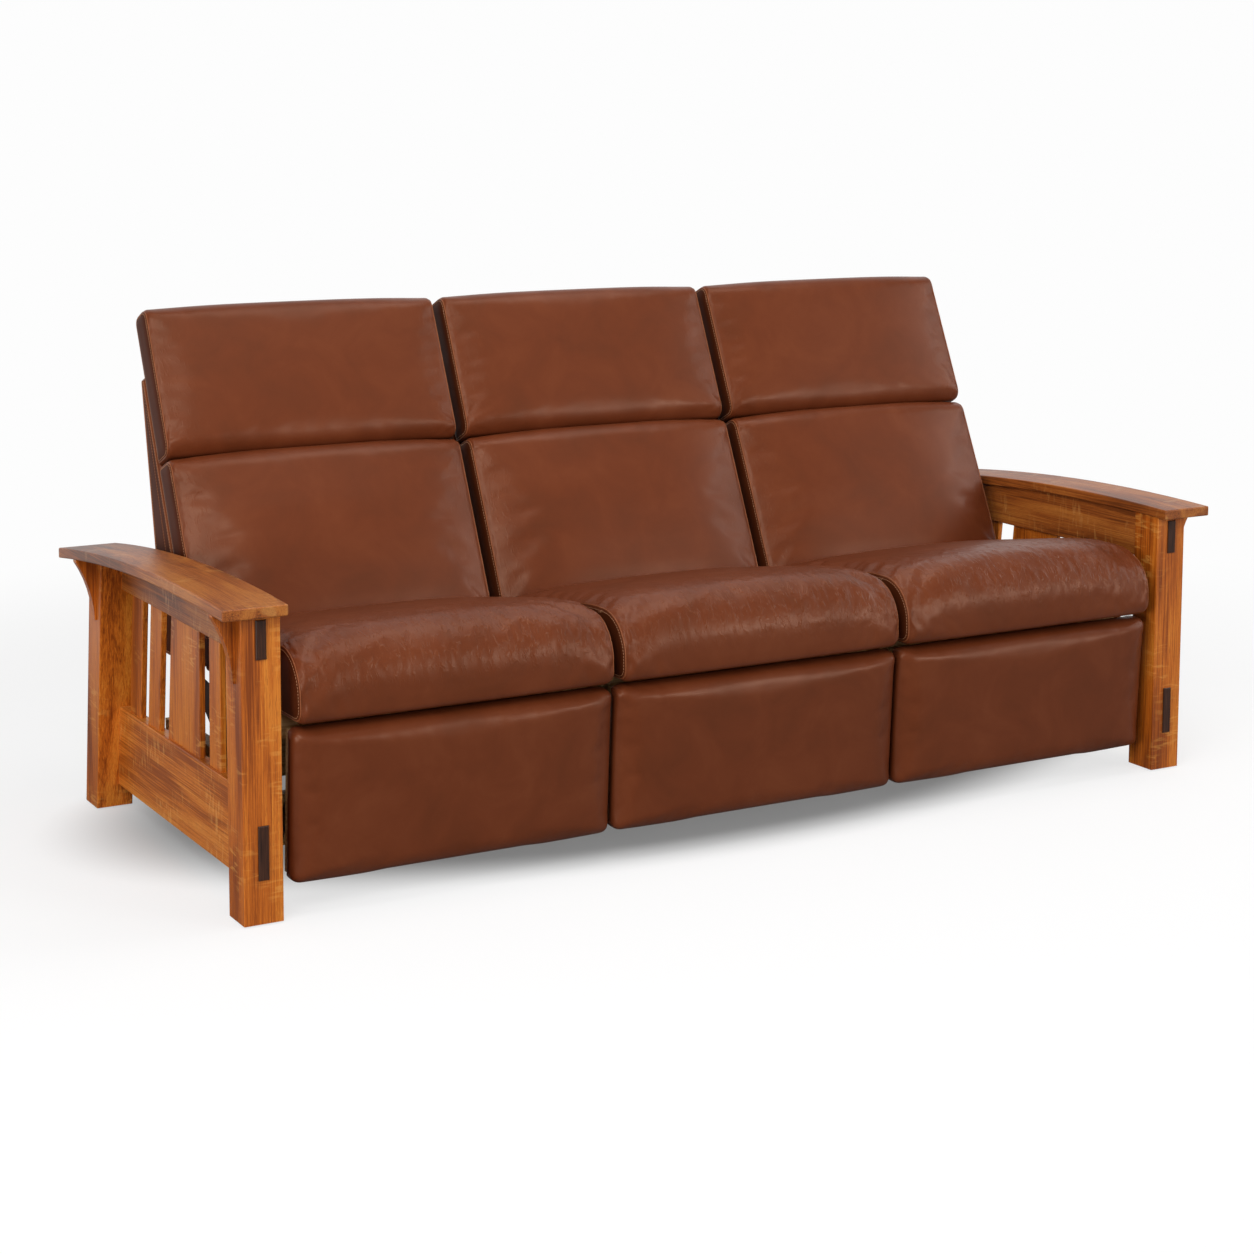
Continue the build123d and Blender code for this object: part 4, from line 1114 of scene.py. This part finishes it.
back_pieces = {}
for index, seat in enumerate(SEATS):
    lumbar = make_pillow(seat, "lumbar", index, LUMBAR_CROWN,
                         [0.8, 0.95, 1.0, 1.0, 0.92, 0.76, 0.6],
                         [CREASE_ROLL, PILLOW_REAR_RADIUS, PILLOW_REAR_RADIUS, PILLOW_ROLL],
                         (0, CREASE_LIFT), True, 3.0)
    headrest = make_pillow(seat, "headrest", index, HEADREST_CROWN,
                           [0.8, 0.95, 1.0, 1.0, 0.98, 0.92, 0.82],
                           [*HEADREST_TOP_RADII, PILLOW_REAR_RADIUS, CREASE_ROLL],
                           (CREASE_LIFT, 0), False, 61.0)
    back_pieces[seat] = [lumbar, headrest]
print("pillows", 2 * len(back_pieces))

# %% [markdown]
# The shell behind the pillows is a padded wooden frame in a tight leather cover: plain at
# the back, with a seam down each rear edge. From the side it is a wedge.

# %% Back shells
SHELL_CORNERS = [(-0.6, 1.0), (-0.6, -1.0), (1.0, -1.0), (1.0, 1.0)]
SHELL_RADII = [5 * MM, 6 * MM, 10 * MM, 9 * MM]
SHELL_CROWN = 4 * MM
SHELL_SPINE_FOOT = (0.0, 60 * MM)
SHELL_SPINE_TOP = (-4 * MM, -20 * MM)
SHELL_SEWING = {"power": 8.0, "roll": 8 * MM, "turn_over": math.radians(72), "bulge": 1 * MM}
SHELL_PUCKERS = {"depth": 0.5 * MM, "spacing": 30 * MM, "fade": 20 * MM}


def make_shell(seat):
    node = f"back_shell_{seat}"
    low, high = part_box(node)
    centre, half_width = (low.x + high.x) / 2, (high.x - low.x) / 2
    corners = [extreme(node, direction) for direction in SHELL_CORNERS]
    front_top, front_bottom, rear_bottom, rear_top = corners
    outline = rounded_outline(corners, SHELL_RADII, GRID)

    def swell(points, normals):
        return facing(normals, (1, 0), 4) * SHELL_CROWN

    spine = [
        (front_bottom + rear_bottom) / 2 + SHELL_SPINE_FOOT,
        (front_top + rear_top) / 2 + SHELL_SPINE_TOP,
    ]
    piece = boxed_cushion(f"{node}_leather", outline, spine, half_width,
                          shifted(upright, centre), swell, **SHELL_SEWING)
    subdivide(piece)
    pucker(piece, half_width, 9.0, everywhere, nowhere, **SHELL_PUCKERS)
    return finished(piece, f"back_{seat}", 1.0, node)


for seat in SEATS:
    back_pieces[seat].append(make_shell(seat))
print("shells", len(SEATS))

# %% [markdown]
# A footrest pad is thin foam on a board under tightly pulled leather: a nearly flat face,
# soft edges with no seam in sight, and small pulls at the upper corners.

# %% Footrest pads
PAD_CROWN = 12 * MM
PAD_ROLL = 17 * MM
PAD_REAR_RADIUS = 4 * MM
PAD_SEWING = {"power": 5.0, "roll": PAD_ROLL, "turn_over": math.radians(88), "bulge": 1 * MM}
PAD_FILLING = {"cap": 4 * MM, "spare": -0.01}
PAD_PUCKERS = {"depth": 1.0 * MM, "spacing": 16 * MM, "fade": 20 * MM}
PAD_HELD = 10 * MM
PAD_PULLED = (-90 * MM, -20 * MM)


def make_pad(seat, index):
    node = f"footrest_pad_{seat}"
    low, high = pad_lean.box(node)
    centre, half_width = (low[0] + high[0]) / 2, (high[0] - low[0]) / 2
    front = high[1] - PAD_CROWN
    corners = [(front, high[2]), (low[1], high[2]), (low[1], low[2]), (front, low[2])]
    outline = rounded_outline(corners, [PAD_ROLL, PAD_REAR_RADIUS, PAD_REAR_RADIUS, PAD_ROLL], GRID)

    def swell(points, normals):
        return facing(normals, (1, 0), 1.5) * PAD_CROWN

    half = (front - low[1]) / 2
    spine = [(front - half, low[2] + half), (front - half, high[2] - half)]
    piece = boxed_cushion(f"{node}_leather", outline, spine, half_width,
                          shifted(pad_lean.to_row, centre), swell, **PAD_SEWING)

    def can_move(points):
        return points[:, 1:] @ pad_lean.out > front - PAD_HELD

    filled(piece, node, can_move, **PAD_FILLING)
    subdivide(piece)

    def where(along, across, place):
        return smooth_step(pad_lean.up_of(place) - high[2], *PAD_PULLED) * 0.8

    def pull(place):
        return abs(pad_lean.up_of(place) - (high[2] - PAD_ROLL))

    pucker(piece, half_width, 40 + index * 3.7, where, nowhere, pull=pull, **PAD_PUCKERS)
    return finished(piece, f"footrest_{seat}", 0.9, node)


pad_pieces = [make_pad(seat, index) for index, seat in enumerate(SEATS)]
print("pads", len(pad_pieces))

# %% [markdown]
# Last, the sewing. Each sewn body gets one mesh of beads, in a slightly paler leather that
# paints a highlight along the seam edges, and one of stitches in waxed thread, for all of
# its seams.

# %% Seams
for seat in SEATS:
    for place, body, sewn_pieces in (
        ("seat", f"carriage_{seat}", [seat_pieces[seat]]),
        ("back", f"back_{seat}", back_pieces[seat]),
    ):
        beads = [loop for piece in sewn_pieces for loop in loops_of(piece, SEAM, BEAD_LIFT)]
        rows = [loop for piece in sewn_pieces for loop in loops_of(piece, STITCHING, STITCH_LIFT)]
        faces = make_seams(f"{place}_seams_{seat}", beads, body, False, bead_leather_painted_highlight)
        faces += make_seams(f"{place}_stitches_{seat}", rows, body, True, thread)
        print(place, seat, "seam faces", faces)

import json

bpy.context.scene.view_settings.view_transform = "Standard"
